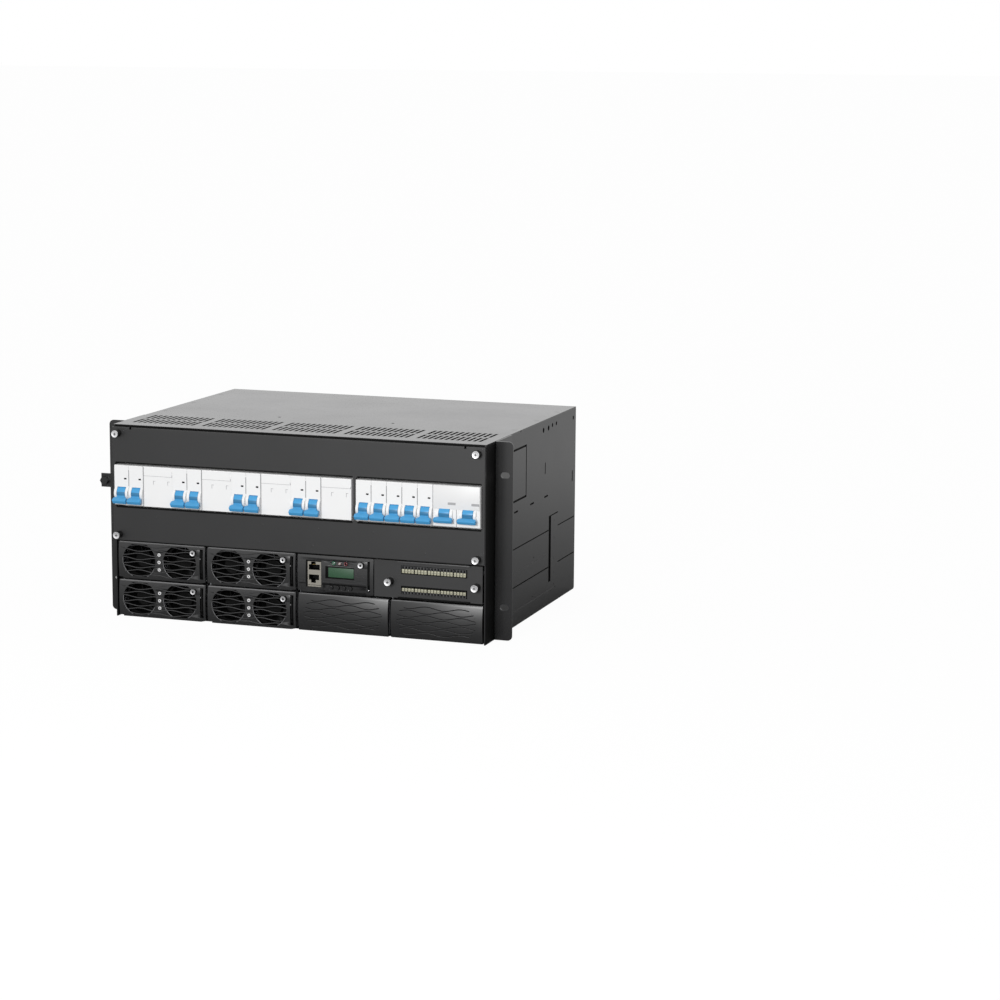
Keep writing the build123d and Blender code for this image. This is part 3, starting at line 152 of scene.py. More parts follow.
class Paint(Nodes):
    """A material's node tree while it is being built."""

    def __init__(self, name: str, **values: float) -> None:
        """Starts a material with nothing but its shader.

        Args:
            name: the material's name.
            values: what the shader's own sockets are set to, in lower case with underscores.
        """
        self.material = bpy.data.materials.new(name)
        self.material.use_nodes = True
        super().__init__(self.material.node_tree)
        self.shader = self.tree.nodes["Principled BSDF"]
        self.place = self.add("ShaderNodeTexCoord").outputs["Object"]
        for key, value in values.items():
            self.shader.inputs[key.replace("_", " ").title().replace("Ior", "IOR")].default_value = value

    def stretched(self, scale: Vector) -> Socket:
        """Object coordinates, scaled along each axis.

        Args:
            scale: the three factors.

        Returns:
            The socket that gives them.
        """
        mapping = self.add("ShaderNodeMapping", {"Scale": scale})
        self.join(self.place, mapping.inputs["Vector"])
        return mapping.outputs["Vector"]

    def noise(self, scale: float, detail: float = 2.0,
              place: Socket | None = None) -> Socket:
        """Cloudy noise.

        Args:
            scale: features to the metre.
            detail: octaves.
            place: the coordinates it reads, or none for object coordinates.

        Returns:
            The noise value.
        """
        node = self.add("ShaderNodeTexNoise", {"Scale": scale, "Detail": detail})
        self.join(place or self.place, node.inputs["Vector"])
        return node.outputs["Fac"]

    def ramp(self, value: Socket, low: float, high: float) -> Socket:
        """Maps a value from nought to one onto a range.

        Args:
            value: the value.
            low: what nought becomes.
            high: what one becomes.

        Returns:
            The mapped value.
        """
        node = self.add("ShaderNodeMapRange", {"To Min": low, "To Max": high})
        self.join(value, node.inputs["Value"])
        return node.outputs["Result"]

    def tint(self, value: Socket, dark: Colour, pale: Colour, sharp: float = 0.0) -> None:
        """Mixes the base colour between two colours.

        Args:
            value: the share of the pale colour.
            dark: the colour at nought.
            pale: the colour at one.
            sharp: how far the two ends of the ramp move inwards.
        """
        node = self.add("ShaderNodeValToRGB")
        node.color_ramp.elements[0].position = sharp
        node.color_ramp.elements[1].position = 1.0 - sharp
        node.color_ramp.elements[0].color = (*dark, 1.0)
        node.color_ramp.elements[1].color = (*pale, 1.0)
        self.join(value, node.inputs["Fac"])
        self.join(node.outputs["Color"], self.shader.inputs["Base Color"])

    def mottle(self, value: Socket, colour: Colour, share: float) -> None:
        """Varies the base colour round a middle colour, darker and paler by a share of it."""
        self.tint(value, shade(colour, 1 - share), shade(colour, 1 + share))

    def rough(self, value: Socket, low: float, high: float) -> None:
        """Lets the roughness follow a value between two limits."""
        self.join(self.ramp(value, low, high), self.shader.inputs["Roughness"])

    def bump(self, height: Socket, strength: float, distance: float) -> None:
        """Bends the normals by a height.

        Args:
            height: the height, from nought to one.
            strength: the share of the bend that shows.
            distance: the real height of one, in metres.
        """
        node = self.add("ShaderNodeBump", {"Strength": strength, "Distance": distance})
        self.join(height, node.inputs["Height"])
        self.join(node.outputs["Normal"], self.shader.inputs["Normal"])


def shade(colour: Colour, factor: float) -> Colour:
    """A colour made darker or paler by a factor, up to white."""
    return tuple(min(1.0, part * factor) for part in colour)


@dataclass(frozen=True)
class Coating:
    """A coat whose colour and gloss cloud a little, over a skin with a fine grain."""

    name: str
    colour: Colour
    roughness: float = 0.45
    cloud: float = 0.05
    cloud_size: float = 60.0
    cloud_detail: float = 2.0
    dulling: Pair = (-0.03, 0.04)
    grain: Grain = Grain.MOULDED
    relief: float = 0.12
    relief_height: float = 0.02 * MM
    gloss: float = 0.5

    def build(self) -> Material:
        """Builds the material."""
        paint = Paint(self.name, specular_ior_level=self.gloss)
        clouds = paint.noise(self.cloud_size, self.cloud_detail)
        self.dye(paint, clouds)
        paint.rough(clouds, *(self.roughness + step for step in self.dulling))
        paint.bump(paint.noise(self.grain.value), self.relief, self.relief_height)
        return paint.material

    def dye(self, paint: Paint, clouds: Socket) -> None:
        """Gives the coat its colour, which clouds a little."""
        paint.mottle(clouds, self.colour, self.cloud)


@dataclass(frozen=True)
class Moulded(Coating):
    """Injection moulded plastic: an even colour with a fine eroded skin."""


@dataclass(frozen=True)
class PowderCoat(Coating):
    """Baked powder paint: fine orange peel, a little cloudiness and a satin gloss."""

    roughness: float = 0.42
    cloud: float = 0.14
    cloud_size: float = 14.0
    cloud_detail: float = 3.0
    dulling: Pair = (-0.04, 0.05)
    grain: Grain = Grain.POWDER
    relief: float = 0.16
    relief_height: float = 0.05 * MM


@dataclass(frozen=True)
class ShadeBandedMoulding(Coating):
    """A moulded toggle with painted shade: darker across the hollow of its stem and along its top edge."""

    roughness: float = 0.36
    foot: float = 0.0
    top: float = 1.0
    band: Pair = (0.45, 0.67)
    edge: float = 0.965
    fade: float = 0.012
    painted_shade_factor: float = 0.55

    def dye(self, paint: Paint, clouds: Socket) -> None:
        """Colours the toggle in level bands between its foot and its top; the darker bands are painted shade.
        """
        height = paint.add("ShaderNodeSeparateXYZ")
        paint.join(paint.place, height.inputs["Vector"])
        share = paint.add("ShaderNodeMapRange", {"From Min": self.foot, "From Max": self.top})
        paint.join(height.outputs["Z"], share.inputs["Value"])
        ramp = paint.add("ShaderNodeValToRGB")
        dim = shade(self.colour, self.painted_shade_factor)
        low, high = self.band
        stops = [(0.0, self.colour), (low, self.colour), (low + self.fade, dim), (high, dim),
                 (high + self.fade, self.colour), (self.edge, self.colour), (self.edge + self.fade, dim),
                 (1.0, dim)]
        while len(ramp.color_ramp.elements) < len(stops):
            ramp.color_ramp.elements.new(0.5)
        for element, (place, colour) in zip(ramp.color_ramp.elements, stops):
            element.position = place
            element.color = (*colour, 1.0)
        paint.join(share.outputs["Result"], ramp.inputs["Fac"])
        paint.join(ramp.outputs["Color"], paint.shader.inputs["Base Color"])


@dataclass(frozen=True)
class Plated:
    """Plated or bare metal with fine drawn lines along one axis."""

    name: str
    colour: Colour
    roughness: float = 0.28
    line_scale: Triple = (30.0, 900.0, 900.0)
    mottle: float = 0.12
    dulling: Pair = (-0.08, 0.12)
    relief: float = 0.25
    line_height: float = 0.01 * MM

    def build(self) -> Material:
        """Builds the material."""
        paint = Paint(self.name, metallic=1.0)
        lines = paint.noise(1.0, 3.0, paint.stretched(Vector(self.line_scale)))
        paint.mottle(paint.noise(Grain.ROLLED.value), self.colour, self.mottle)
        paint.rough(lines, *(self.roughness + step for step in self.dulling))
        paint.bump(lines, self.relief, self.line_height)
        return paint.material


@dataclass(frozen=True)
class Galvanised:
    """Zinc-coated sheet whose crystals show as pale and dark cells."""

    name: str
    colour: Colour
    crystal: float = 110.0
    spread: float = 0.22
    roughness: float = 0.4
    dulling: Pair = (-0.08, 0.1)
    relief: float = 0.1
    relief_height: float = 0.02 * MM

    def build(self) -> Material:
        """Builds the material."""
        paint = Paint(self.name, metallic=1.0)
        cells = paint.add("ShaderNodeTexVoronoi", {"Scale": self.crystal}, feature="F1")
        paint.join(paint.place, cells.inputs["Vector"])
        tone = paint.add("ShaderNodeSeparateColor")
        paint.join(cells.outputs["Color"], tone.inputs["Color"])
        paint.mottle(tone.outputs["Red"], self.colour, self.spread)
        paint.rough(tone.outputs["Green"], *(self.roughness + step for step in self.dulling))
        paint.bump(paint.noise(Grain.ROLLED.value), self.relief, self.relief_height)
        return paint.material


@dataclass(frozen=True)
class CircuitBoard:
    """Solder mask over copper tracks that run in straight lines and turn square."""

    name: str
    colour: Colour
    track: Colour
    pitch: float = 190.0
    edge: float = 0.3
    dulling: Pair = (0.3, 0.45)
    relief: float = 0.3
    track_height: float = 0.05 * MM

    def build(self) -> Material:
        """Builds the material."""
        paint = Paint(self.name)
        cells = paint.add("ShaderNodeTexVoronoi", {"Scale": self.pitch}, feature="F1", distance="CHEBYCHEV")
        paint.join(paint.place, cells.inputs["Vector"])
        paint.tint(cells.outputs["Distance"], self.colour, self.track, self.edge)
        paint.rough(cells.outputs["Distance"], *self.dulling)
        paint.bump(cells.outputs["Distance"], self.relief, self.track_height)
        return paint.material


@dataclass(frozen=True)
class PixelGlass:
    """A reflective character display: a green sheet ruled with fine dark lines, under gloss."""

    name: str
    colour: Colour
    dot: float = 0.55 * MM
    line_share: float = 0.12
    pale: float = 1.06
    dark: float = 0.7
    roughness: float = 0.5

    def build(self) -> Material:
        """Builds the material."""
        paint = Paint(self.name, roughness=self.roughness)
        bricks = paint.add("ShaderNodeTexBrick", {
            "Scale": 1.0, "Brick Width": self.dot, "Row Height": self.dot,
            "Mortar Size": self.dot * self.line_share, "Color1": (*self.colour, 1.0),
            "Color2": (*shade(self.colour, self.pale), 1.0),
            "Mortar": (*shade(self.colour, self.dark), 1.0)}, offset=0.0, squash=1.0)
        turned = paint.add("ShaderNodeMapping", {"Rotation": Way.DEEP.value})
        paint.join(paint.place, turned.inputs["Vector"])
        paint.join(turned.outputs["Vector"], bricks.inputs["Vector"])
        paint.join(bricks.outputs["Color"], paint.shader.inputs["Base Color"])
        return paint.material


@dataclass(frozen=True)
class Lens:
    """A small clear plastic lens: deep gloss over an even colour that clouds a little."""

    name: str
    colour: Colour
    cloud_size: float = 900.0
    coat: float = 0.8
    coat_roughness: float = 0.06
    shades: Pair = (0.8, 1.25)
    dulling: Pair = (0.2, 0.32)

    def build(self) -> Material:
        """Builds the material."""
        paint = Paint(self.name, coat_weight=self.coat, coat_roughness=self.coat_roughness)
        clouds = paint.noise(self.cloud_size, 1.0)
        paint.tint(clouds, *(shade(self.colour, factor) for factor in self.shades))
        paint.rough(clouds, *self.dulling)
        return paint.material


TOGGLE_BLUE: Colour = (0.06, 0.34, 0.66)

FINISHES: dict[str, Coating | Plated | Galvanised | CircuitBoard | PixelGlass | Lens] = {
    "chassis": PowderCoat("chassis_coat", (0.01, 0.01, 0.0105), 0.24),
    "ear": PowderCoat("ear_coat", (0.013, 0.013, 0.0135), 0.24, gloss=0.6),
    # The lid coat is paler than the chassis coat: partly a painted sheen of the light from above on the black
    # lid.
    "lid": PowderCoat("lid_coat_with_painted_sheen", (0.04, 0.04, 0.041), 0.2),
    "cover": PowderCoat("cover_coat", (0.0105, 0.0105, 0.011), 0.42, gloss=0.6),
    "module": Moulded("module_black", (0.008, 0.008, 0.0085), 0.36, gloss=0.7),
    # Paler than the module's black, for the raised grille bars and grain lines: partly a painted highlight on
    # their rounded tops.
    "bar": Moulded("grille_black_with_painted_highlight", (0.035, 0.035, 0.036), 0.36, gloss=0.5),
    "rotor": Moulded("rotor_black", (0.003, 0.003, 0.003), 0.5, gloss=0.12),
    "sleeve": Moulded("sleeve_black", (0.006, 0.006, 0.006), 0.4, gloss=0.3),
    "breaker": Moulded("breaker_white", (0.86, 0.86, 0.86), 0.38, 0.01),
    "mark": Moulded("mark_grey", (0.12, 0.12, 0.125), 0.5),
    "seam": Moulded("seam_grey", (0.3, 0.3, 0.31), 0.5),
    "plate": Moulded("plate_white", (0.8, 0.8, 0.8), 0.42, 0.01),
    # Pale grey for moulded marks and bars, and for the painted shadow lines under the blanks' label strips.
    "pale_mark": Moulded("mark_and_shadow_pale", (0.38, 0.38, 0.39), 0.5),
    # Pale grey for the lower rims of the grille openings and the rectifiers' lever pins: painted highlights.
    "rim": Moulded("rim_painted_highlight_grey", (0.14, 0.14, 0.145), 0.4),
    # Pale grey for the bead along the modules' top edges: a painted highlight.
    "edge": Moulded("bead_painted_highlight_grey", (0.17, 0.17, 0.172), 0.4),
    "card": PowderCoat("card_coat", (0.022, 0.022, 0.0225), 0.42),
    # Paler than the card coat, for the card's upper lip: a painted highlight.
    "lip": PowderCoat("lip_highlight_coat", (0.07, 0.07, 0.071), 0.42),
    # Grey for the terminal headers, and for the fillers' painted highlight lines below their grooves.
    "header": Moulded("header_and_highlight_grey", (0.05, 0.05, 0.052), 0.45),
    "ring": Moulded("ring_white", (0.7, 0.7, 0.7), 0.35),
    "eye": Lens("eye_grey", (0.14, 0.14, 0.145)),
    "toggle": Moulded("toggle_blue", TOGGLE_BLUE, 0.36),
    "nickel": Plated("nickel", (0.82, 0.82, 0.83), 0.3),
    "steel": Plated("screw_steel", (0.42, 0.42, 0.43), 0.38),
    "shell": Plated("jack_shell", (0.3, 0.285, 0.25), 0.5),
    "key_rim": Moulded("key_rim_grey", (0.016, 0.016, 0.017), 0.25),
    "copper": Plated("copper", (0.75, 0.4, 0.25), 0.32),
    "gold": Plated("contact_gold", (0.85, 0.62, 0.25), 0.25),
    "zinc": Galvanised("zinc_sheet", (0.52, 0.53, 0.55)),
    "board": CircuitBoard("board_green", (0.012, 0.08, 0.03), (0.03, 0.17, 0.07)),
    "cream": Moulded("terminal_cream", (0.42, 0.41, 0.3), 0.5, 0.16, cloud_size=90.0),
    "display": PixelGlass("display_green", (0.026, 0.085, 0.04)),
    "key": Moulded("key_grey", (0.008, 0.008, 0.0085), 0.25),
    # Near-black for sockets and other dark parts, and for the painted shade: strips, skins and lines where
    # shade falls.
    "dark": Moulded("socket_dark_and_painted_shade", (0.003, 0.003, 0.003), 0.6, gloss=0.1),
    "lamp_white": Lens("lamp_white", (0.4, 0.38, 0.36)),
    "lamp_green": Lens("lamp_green", (0.01, 0.14, 0.06)),
    "lamp_brown": Lens("lamp_brown", (0.09, 0.03, 0.03)),
    "lamp_red": Lens("lamp_red", (0.16, 0.012, 0.02)),
}


class Palette:
    """Every finish of the shelf, built once, each under its name in the table."""

    def __init__(self) -> None:
        """Builds the materials."""
        for name, finish in FINISHES.items():
            setattr(self, name, finish.build())


def coat(piece: Piece, material: Material) -> None:
    """Puts one material on a piece.

    Args:
        piece: the piece or CAD node.
        material: what it is finished in.
    """
    if not piece.data.materials:
        piece.data.materials.append(material)
    for i in range(len(piece.material_slots)):
        piece.material_slots[i].material = material


# The studio


def seen_directly(nodes: Nodes) -> Socket:
    """One where a ray comes from the camera, from a gloss or through clear glass, and else nought."""
    path = nodes.add("ShaderNodeLightPath")
    total = path.outputs["Is Camera Ray"]
    for kind in ("Is Glossy Ray", "Is Transmission Ray"):
        larger = nodes.add("ShaderNodeMath", operation="MAXIMUM")
        nodes.join(total, larger.inputs[0])
        nodes.join(path.outputs[kind], larger.inputs[1])
        total = larger.outputs["Value"]
    return total


@dataclass
class Studio:
    """Pale floor, plain soft light and the camera at the photograph's place."""

    camera_place: Triple = (1.124196, -2.695329, 0.642962)
    yaw: float = math.radians(18.42882)
    pitch: float = math.radians(-9.73716)
    roll: float = math.radians(-0.41688)
    lens: float = 95.63
    sensor: float = 36.0
    floor_size: float = 120.0
    floor_colour: Colour = (0.42, 0.42, 0.42)
    floor_glow: float = 0.9
    floor_white: float = 1.07
    shelf_middle: Triple = (0.0, 0.13, 0.0)
    # Near the shelf the floor is darker in reflections: painted shade.
    mirror_near: float = 0.25
    mirror_far: float = 1.4
    mirrored_glow: Pair = (0.0, 0.467)
    sky_light: float = 0.55
    key_place: Triple = (0.15, -2.0, 0.62)
    key_size: float = 0.5
    key_power: float = 25.0

    def build(self) -> None:
        """Builds floor, lights and camera."""
        self.build_camera()
        self.build_floor()
        self.build_sky()
        self.build_lamp()
        bpy.context.scene.view_settings.view_transform = "Standard"

    def build_camera(self) -> None:
        """Puts the camera where the photograph was taken from."""
        turn = (Matrix.Rotation(self.yaw, 4, "Z") @ Matrix.Rotation(self.pitch, 4, "X")
                @ Matrix.Rotation(self.roll, 4, "Y") @ Matrix.Rotation(math.pi / 2, 4, "X"))
        bpy.ops.object.camera_add(location=self.camera_place, rotation=turn.to_euler())
        camera = bpy.context.active_object
        camera.name = "photo_camera"
        camera.data.lens = self.lens
        camera.data.sensor_width = self.sensor
        bpy.context.scene.camera = camera

    def build_floor(self) -> None:
        """Lays a floor that is white to the eye but still takes the shelf's shadow."""
        bpy.ops.mesh.primitive_plane_add(size=self.floor_size)
        floor = bpy.context.active_object
        floor.name = "floor"
        material = bpy.data.materials.new("floor_white")
        material.use_nodes = True
        nodes = Nodes(material.node_tree)
        nodes.tree.nodes.clear()
        out = nodes.add("ShaderNodeOutputMaterial")
        plain = nodes.add("ShaderNodeBsdfDiffuse", {"Color": (*self.floor_colour, 1.0)})
        glow = nodes.add("ShaderNodeEmission", {"Color": WHITE, "Strength": self.floor_white})
        mix = nodes.add("ShaderNodeMixShader")
        path = nodes.add("ShaderNodeLightPath")
        mirrored = self.mirrored_share(nodes)
        share = nodes.add("ShaderNodeMath", {1: self.floor_glow, 2: 0.0}, operation="MULTIPLY_ADD")
        nodes.join(path.outputs["Is Camera Ray"], share.inputs[0])
        for kind in ("Is Glossy Ray", "Is Transmission Ray"):
            step = nodes.add("ShaderNodeMath", operation="MULTIPLY_ADD")
            nodes.join(path.outputs[kind], step.inputs[0])
            nodes.join(mirrored, step.inputs[1])
            nodes.join(share.outputs["Value"], step.inputs[2])
            share = step
        nodes.join(share.outputs["Value"], mix.inputs["Fac"])
        nodes.join(plain.outputs["BSDF"], mix.inputs[1])
        nodes.join(glow.outputs["Emission"], mix.inputs[2])
        nodes.join(mix.outputs["Shader"], out.inputs["Surface"])
        floor.data.materials.append(material)
        floor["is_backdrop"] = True

    def mirrored_share(self, nodes: Nodes) -> Socket:
        """How much of the floor's white a gloss sees, which grows away from the shelf: painted shade on the
        floor round the shelf, seen only in reflections.
        """
        place = nodes.add("ShaderNodeTexCoord")
        away = nodes.add("ShaderNodeVectorMath", {1: self.shelf_middle}, operation="DISTANCE")
        nodes.join(place.outputs["Object"], away.inputs[0])
        dim, bright = self.mirrored_glow
        ramp = nodes.add("ShaderNodeMapRange", {"From Min": self.mirror_near, "From Max": self.mirror_far,
                                                "To Min": dim, "To Max": bright},
                         interpolation_type="SMOOTHSTEP")
        nodes.join(away.outputs["Value"], ramp.inputs["Value"])
        return ramp.outputs["Result"]

    def build_sky(self) -> None:
        """Lights the scene evenly, from a sky that is white to the eye and in reflections."""
        world = bpy.data.worlds.new("soft_sky")
        bpy.context.scene.world = world
        world.use_nodes = True
        nodes = Nodes(world.node_tree)
        background = nodes.tree.nodes["Background"]
        background.inputs["Color"].default_value = WHITE
        strength = nodes.add("ShaderNodeMapRange", {"To Min": self.sky_light, "To Max": 1.0})
        nodes.join(seen_directly(nodes), strength.inputs["Value"])
        nodes.join(strength.outputs["Result"], background.inputs["Strength"])

    def build_lamp(self) -> None:
        """Hangs a soft lamp that points at the middle of the shelf."""
        low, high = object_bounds()
        aim = (low + high) / 2 - Vector(self.key_place)
        bpy.ops.object.light_add(type="AREA", location=self.key_place,
                                 rotation=aim.to_track_quat("-Z", "Y").to_euler())
        lamp = bpy.context.active_object
        lamp.name = "key_lamp"
        lamp.data.size = self.key_size
        lamp.data.energy = self.key_power


# Steps at the bench


def clear_selection() -> None:
    """Leaves edit mode and deselects every object."""
    if bpy.context.mode != "OBJECT":
        bpy.ops.object.mode_set(mode="OBJECT")
    bpy.ops.object.select_all(action="DESELECT")


def take(piece: Piece) -> None:
    """Makes one piece the only selected and the active one."""
    clear_selection()
    piece.select_set(True)
    bpy.context.view_layer.objects.active = piece


def settle(name: str) -> Piece:
    """Moves the place and the turn of the new primitive into its mesh, and names it.

    Args:
        name: the piece's name.

    Returns:
        The piece.
    """
    piece = bpy.context.active_object
    take(piece)
    bpy.ops.object.transform_apply(location=True, rotation=True, scale=True)
    piece.name = name
    piece.data.name = name
    return piece


def block(name: str, low: Iterable[float], high: Iterable[float]) -> Piece:
    """A block between two opposite corners.

    Args:
        name: the piece's name.
        low: one corner.
        high: the opposite corner.

    Returns:
        The piece.
    """
    pairs = list(zip(low, high))
    low, high = Vector([min(pair) for pair in pairs]), Vector([max(pair) for pair in pairs])
    clear_selection()
    bpy.ops.mesh.primitive_cube_add(size=1.0, location=(low + high) / 2, scale=high - low)
    return settle(name)


def slab(name: str, x: float, z: float, width: float, height: float, near: float, far: float) -> Piece:
    """A block with its middle at width x and height z, between the depths of its front and its back."""
    return block(name, (x - width / 2, near, z - height / 2), (x + width / 2, far, z + height / 2))


def drum(name: str, middle: Iterable[float], radius: float, length: float, way: Way,
         sides: int = 40) -> Piece:
    """A round bar.

    Args:
        name: the piece's name.
        middle: its centre.
        radius: its radius.
        length: its length.
        way: the direction that it points in.
        sides: how many flats it has round it.

    Returns:
        The piece.
    """
    clear_selection()
    bpy.ops.mesh.primitive_cone_add(vertices=sides, radius1=radius, radius2=radius, depth=length,
                                    location=Vector(middle), rotation=way.value)
    return settle(name)


def hoop(name: str, middle: Vector, radius: float, wire: float, facets: int = 12) -> Piece:
    """A ring of round wire that faces the front.

    Args:
        name: the piece's name.
        middle: its centre.
        radius: the radius of the wire's middle line.
        wire: the wire's own radius.
        facets: how many flats the wire has round it.

    Returns:
        The piece.
    """
    clear_selection()
    bpy.ops.mesh.primitive_torus_add(major_radius=radius, minor_radius=wire, major_segments=32,
                                     minor_segments=facets, location=middle, rotation=Way.DEEP.value)
    return smooth(settle(name))


def pick_faces(piece: Piece, choice: Choice) -> None:
    """Enters edit mode with the chosen faces selected.

    Args:
        piece: the piece.
        choice: tells from a face's centre and normal if it is wanted.
    """
    take(piece)
    bpy.ops.object.mode_set(mode="EDIT")
    bpy.ops.mesh.select_mode(type="FACE")
    bpy.ops.mesh.select_all(action="DESELECT")
    bpy.ops.object.mode_set(mode="OBJECT")
    for face in piece.data.polygons:
        face.select = choice(face.center, face.normal)
    bpy.ops.object.mode_set(mode="EDIT")


def evenly(count: int, pitch: float) -> list[float]:
    """Places a pitch apart, with their middle at nought."""
    return [(i - (count - 1) / 2) * pitch for i in range(count)]


def faces_front(_centre: Vector, normal: Vector) -> bool:
    """Tells if a face looks at the front."""
    return normal.y < -SQUARE


def inset(piece: Piece, choice: Choice, thickness: float, depth: float) -> None:
    """Insets the chosen faces and pushes them in.

    Args:
        piece: the piece.
        choice: which faces.
        thickness: the width of the rim that stays.
        depth: how far they go in.
    """
    pick_faces(piece, choice)
    bpy.ops.mesh.inset(thickness=thickness, depth=-depth)
    bpy.ops.object.mode_set(mode="OBJECT")


def finish_with(piece: Piece, kind: str, **settings: object) -> Piece:
    """Adds a modifier and applies it.

    Args:
        piece: the piece.
        kind: the modifier's type.
        settings: its properties.

    Returns:
        The piece.
    """
    take(piece)
    modifier = piece.modifiers.new(kind.lower(), kind)
    for key, value in settings.items():
        setattr(modifier, key, value)
    bpy.ops.object.modifier_apply(modifier=modifier.name)
    return piece


def round_edges(piece: Piece, width: float, segments: int = 2, sharp: float = BEVELLED) -> Piece:
    """Rounds every edge that is sharper than an angle, and smooths the shading.

    Args:
        piece: the piece.
        width: the width of the round.
        segments: how many strips it has.
        sharp: the angle.

    Returns:
        The piece.
    """
    finish_with(piece, "BEVEL", width=width, segments=segments, limit_method="ANGLE", angle_limit=sharp,
                harden_normals=False)
    return smooth(piece)


def smooth(piece: Piece, angle: float = SMOOTHED) -> Piece:
    """Smooths the shading across edges that are blunter than an angle."""
    take(piece)
    bpy.ops.object.shade_smooth_by_angle(angle=angle)
    return piece


def cut_with(piece: Piece, tools: Iterable[Piece]) -> Piece:
    """Cuts pieces away from a piece and removes them.

    Args:
        piece: the piece that is cut.
        tools: the pieces that cut it.

    Returns:
        The piece.
    """
    for tool in tools:
        finish_with(piece, "BOOLEAN", object=tool, operation="DIFFERENCE", solver="EXACT")
        bpy.data.objects.remove(tool)
    return piece


def joined(name: str, pieces: list[Piece]) -> Piece:
    """Joins pieces into one object, with their own materials kept.

    Args:
        name: the new name.
        pieces: the pieces.

    Returns:
        The joined piece.
    """
    take(pieces[0])
    for piece in pieces:
        piece.select_set(True)
    if len(pieces) > 1:
        bpy.ops.object.join()
    pieces[0].name = name
    pieces[0].data.name = name
    return pieces[0]


def copied(piece: Piece, name: str, shift: Iterable[float]) -> Piece:
    """A copy of a piece with its own mesh, moved.

    Args:
        piece: the piece.
        name: the copy's name.
        shift: how far it is moved.

    Returns:
        The copy.
    """
    twin = bpy.data.objects.new(name, piece.data.copy())
    twin.data.name = name
    twin.data.transform(Matrix.Translation(Vector(shift)))
    bpy.context.scene.collection.objects.link(twin)
    return twin


def tube(name: str, points: list[Vector], radius: float, sides: int = 2) -> Piece:
    """A round bar along a smooth line of points.

    Args:
        name: the piece's name.
        points: the line.
        radius: the bar's radius.
        sides: how finely the bar is rounded.

    Returns:
        The piece.
    """
    clear_selection()
    curve = bpy.data.curves.new(name, "CURVE")
    curve.dimensions = "3D"
    curve.bevel_depth = radius
    curve.bevel_resolution = sides
    curve.use_fill_caps = True
    spline = curve.splines.new("POLY")
    spline.points.add(len(points) - 1)
    for at, point in zip(spline.points, points):
        at.co = (*point, 1.0)
    bar = bpy.data.objects.new(name, curve)
    bpy.context.scene.collection.objects.link(bar)
    take(bar)
    bpy.ops.object.convert(target="MESH")
    return smooth(bpy.context.active_object, ROUNDED)


def merged_copy(node: str, name: str) -> Piece:
    """A copy of a CAD node's mesh with its loose triangles merged into whole flat faces.

    Args:
        node: the CAD node.
        name: the copy's name.

    Returns:
        The copy.
    """
    piece = copied(bpy.data.objects[node], name, (0.0, 0.0, 0.0))
    take(piece)
    bpy.ops.object.mode_set(mode="EDIT")
    bpy.ops.mesh.select_all(action="SELECT")
    bpy.ops.mesh.remove_doubles(threshold=WELDED)
    bpy.ops.mesh.dissolve_limited(angle_limit=FLAT)
    bpy.ops.object.mode_set(mode="OBJECT")
    return piece


@dataclass(frozen=True)
class Crown:
    """The slight bulge of a moulded front, which lies back towards its foot and its top."""

    low: Vector
    high: Vector
    depth: float
    steps: int = 14

    def shift(self, point: Vector) -> float:
        """How far back a point of the front lies; the front's rear edge stays in its place."""
        share = (2 * point.z - self.low.z - self.high.z) / (self.high.z - self.low.z)
        near = (self.high.y - point.y) / (self.high.y - self.low.y)
        return self.depth * min(1.0, share * share) * min(1.0, max(0.0, near))

    def bend(self, piece: Piece) -> Piece:
        """Moves the points of a piece back by the bulge."""
        for vertex in piece.data.vertices:
            vertex.co.y += self.shift(vertex.co)
        return smooth(piece)

    def front(self, piece: Piece) -> Piece:
        """Bulges a flat front, cut into level strips so that it bends evenly."""
        take(piece)
        bpy.ops.object.mode_set(mode="EDIT")
        for step in range(1, self.steps):
            level = self.low.z + (self.high.z - self.low.z) * step / self.steps
            bpy.ops.mesh.select_all(action="SELECT")
            bpy.ops.mesh.bisect(plane_co=(0.0, 0.0, level), plane_no=(0.0, 0.0, 1.0))
        bpy.ops.object.mode_set(mode="OBJECT")
        return self.bend(piece)

    def bead(self, name: str, drop: float, margin: float, radius: float) -> Piece:
        """The pale bead along the top edge of the front: a painted highlight of the rounded edge.

        Args:
            name: the bead's name.
            drop: how far its middle lies below and behind the edge.
            margin: how far it stays from both ends.
            radius: its radius.

        Returns:
            The bead.
        """
        ends = [Vector((x, self.low.y + drop, self.high.z - drop))
                for x in (self.low.x + margin, self.high.x - margin)]
        for end in ends:
            end.y += self.shift(end)
        return tube(name, ends, radius)


def show(piece: Piece, body: str, material: Material | None = None) -> None:
    """Finishes a piece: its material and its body.

    Args:
        piece: the piece.
        body: the CAD body that it moves with.
        material: its finish, or none if it has its own already.
    """
    if material is not None:
        coat(piece, material)
    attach(piece, body)
    LOG.info("%s rides on %s", piece.name, body)


def show_all(pieces: Iterable[Shown]) -> None:
    """Names and finishes pieces.

    Args:
        pieces: each piece's name, the piece, its body, its finish and its slot.
    """
    for name, piece, body, material, slot in pieces:
        piece.name = name
        piece.data.name = name
        show(piece, body, material)


# Places on the shelf


def front_y() -> float:
    """The depth of the plane that all the modules' faces lie in."""
    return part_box("chassis")[0].y


@dataclass(frozen=True)
class Face:
    """A module's face: places on it are measured from its lower left corner."""

    left: float
    low: float
    front: float

    def at(self, x: float, z: float, out: float = 0.0) -> Vector:
        """The point at width x and height z that stands out of the face by a given length."""
        return Vector((self.left + x, self.front - out, self.low + z))


def face_of(node: str) -> Face:
    """The face of the module whose front is this CAD node."""
    low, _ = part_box(node)
    return Face(low.x, low.z, front_y())


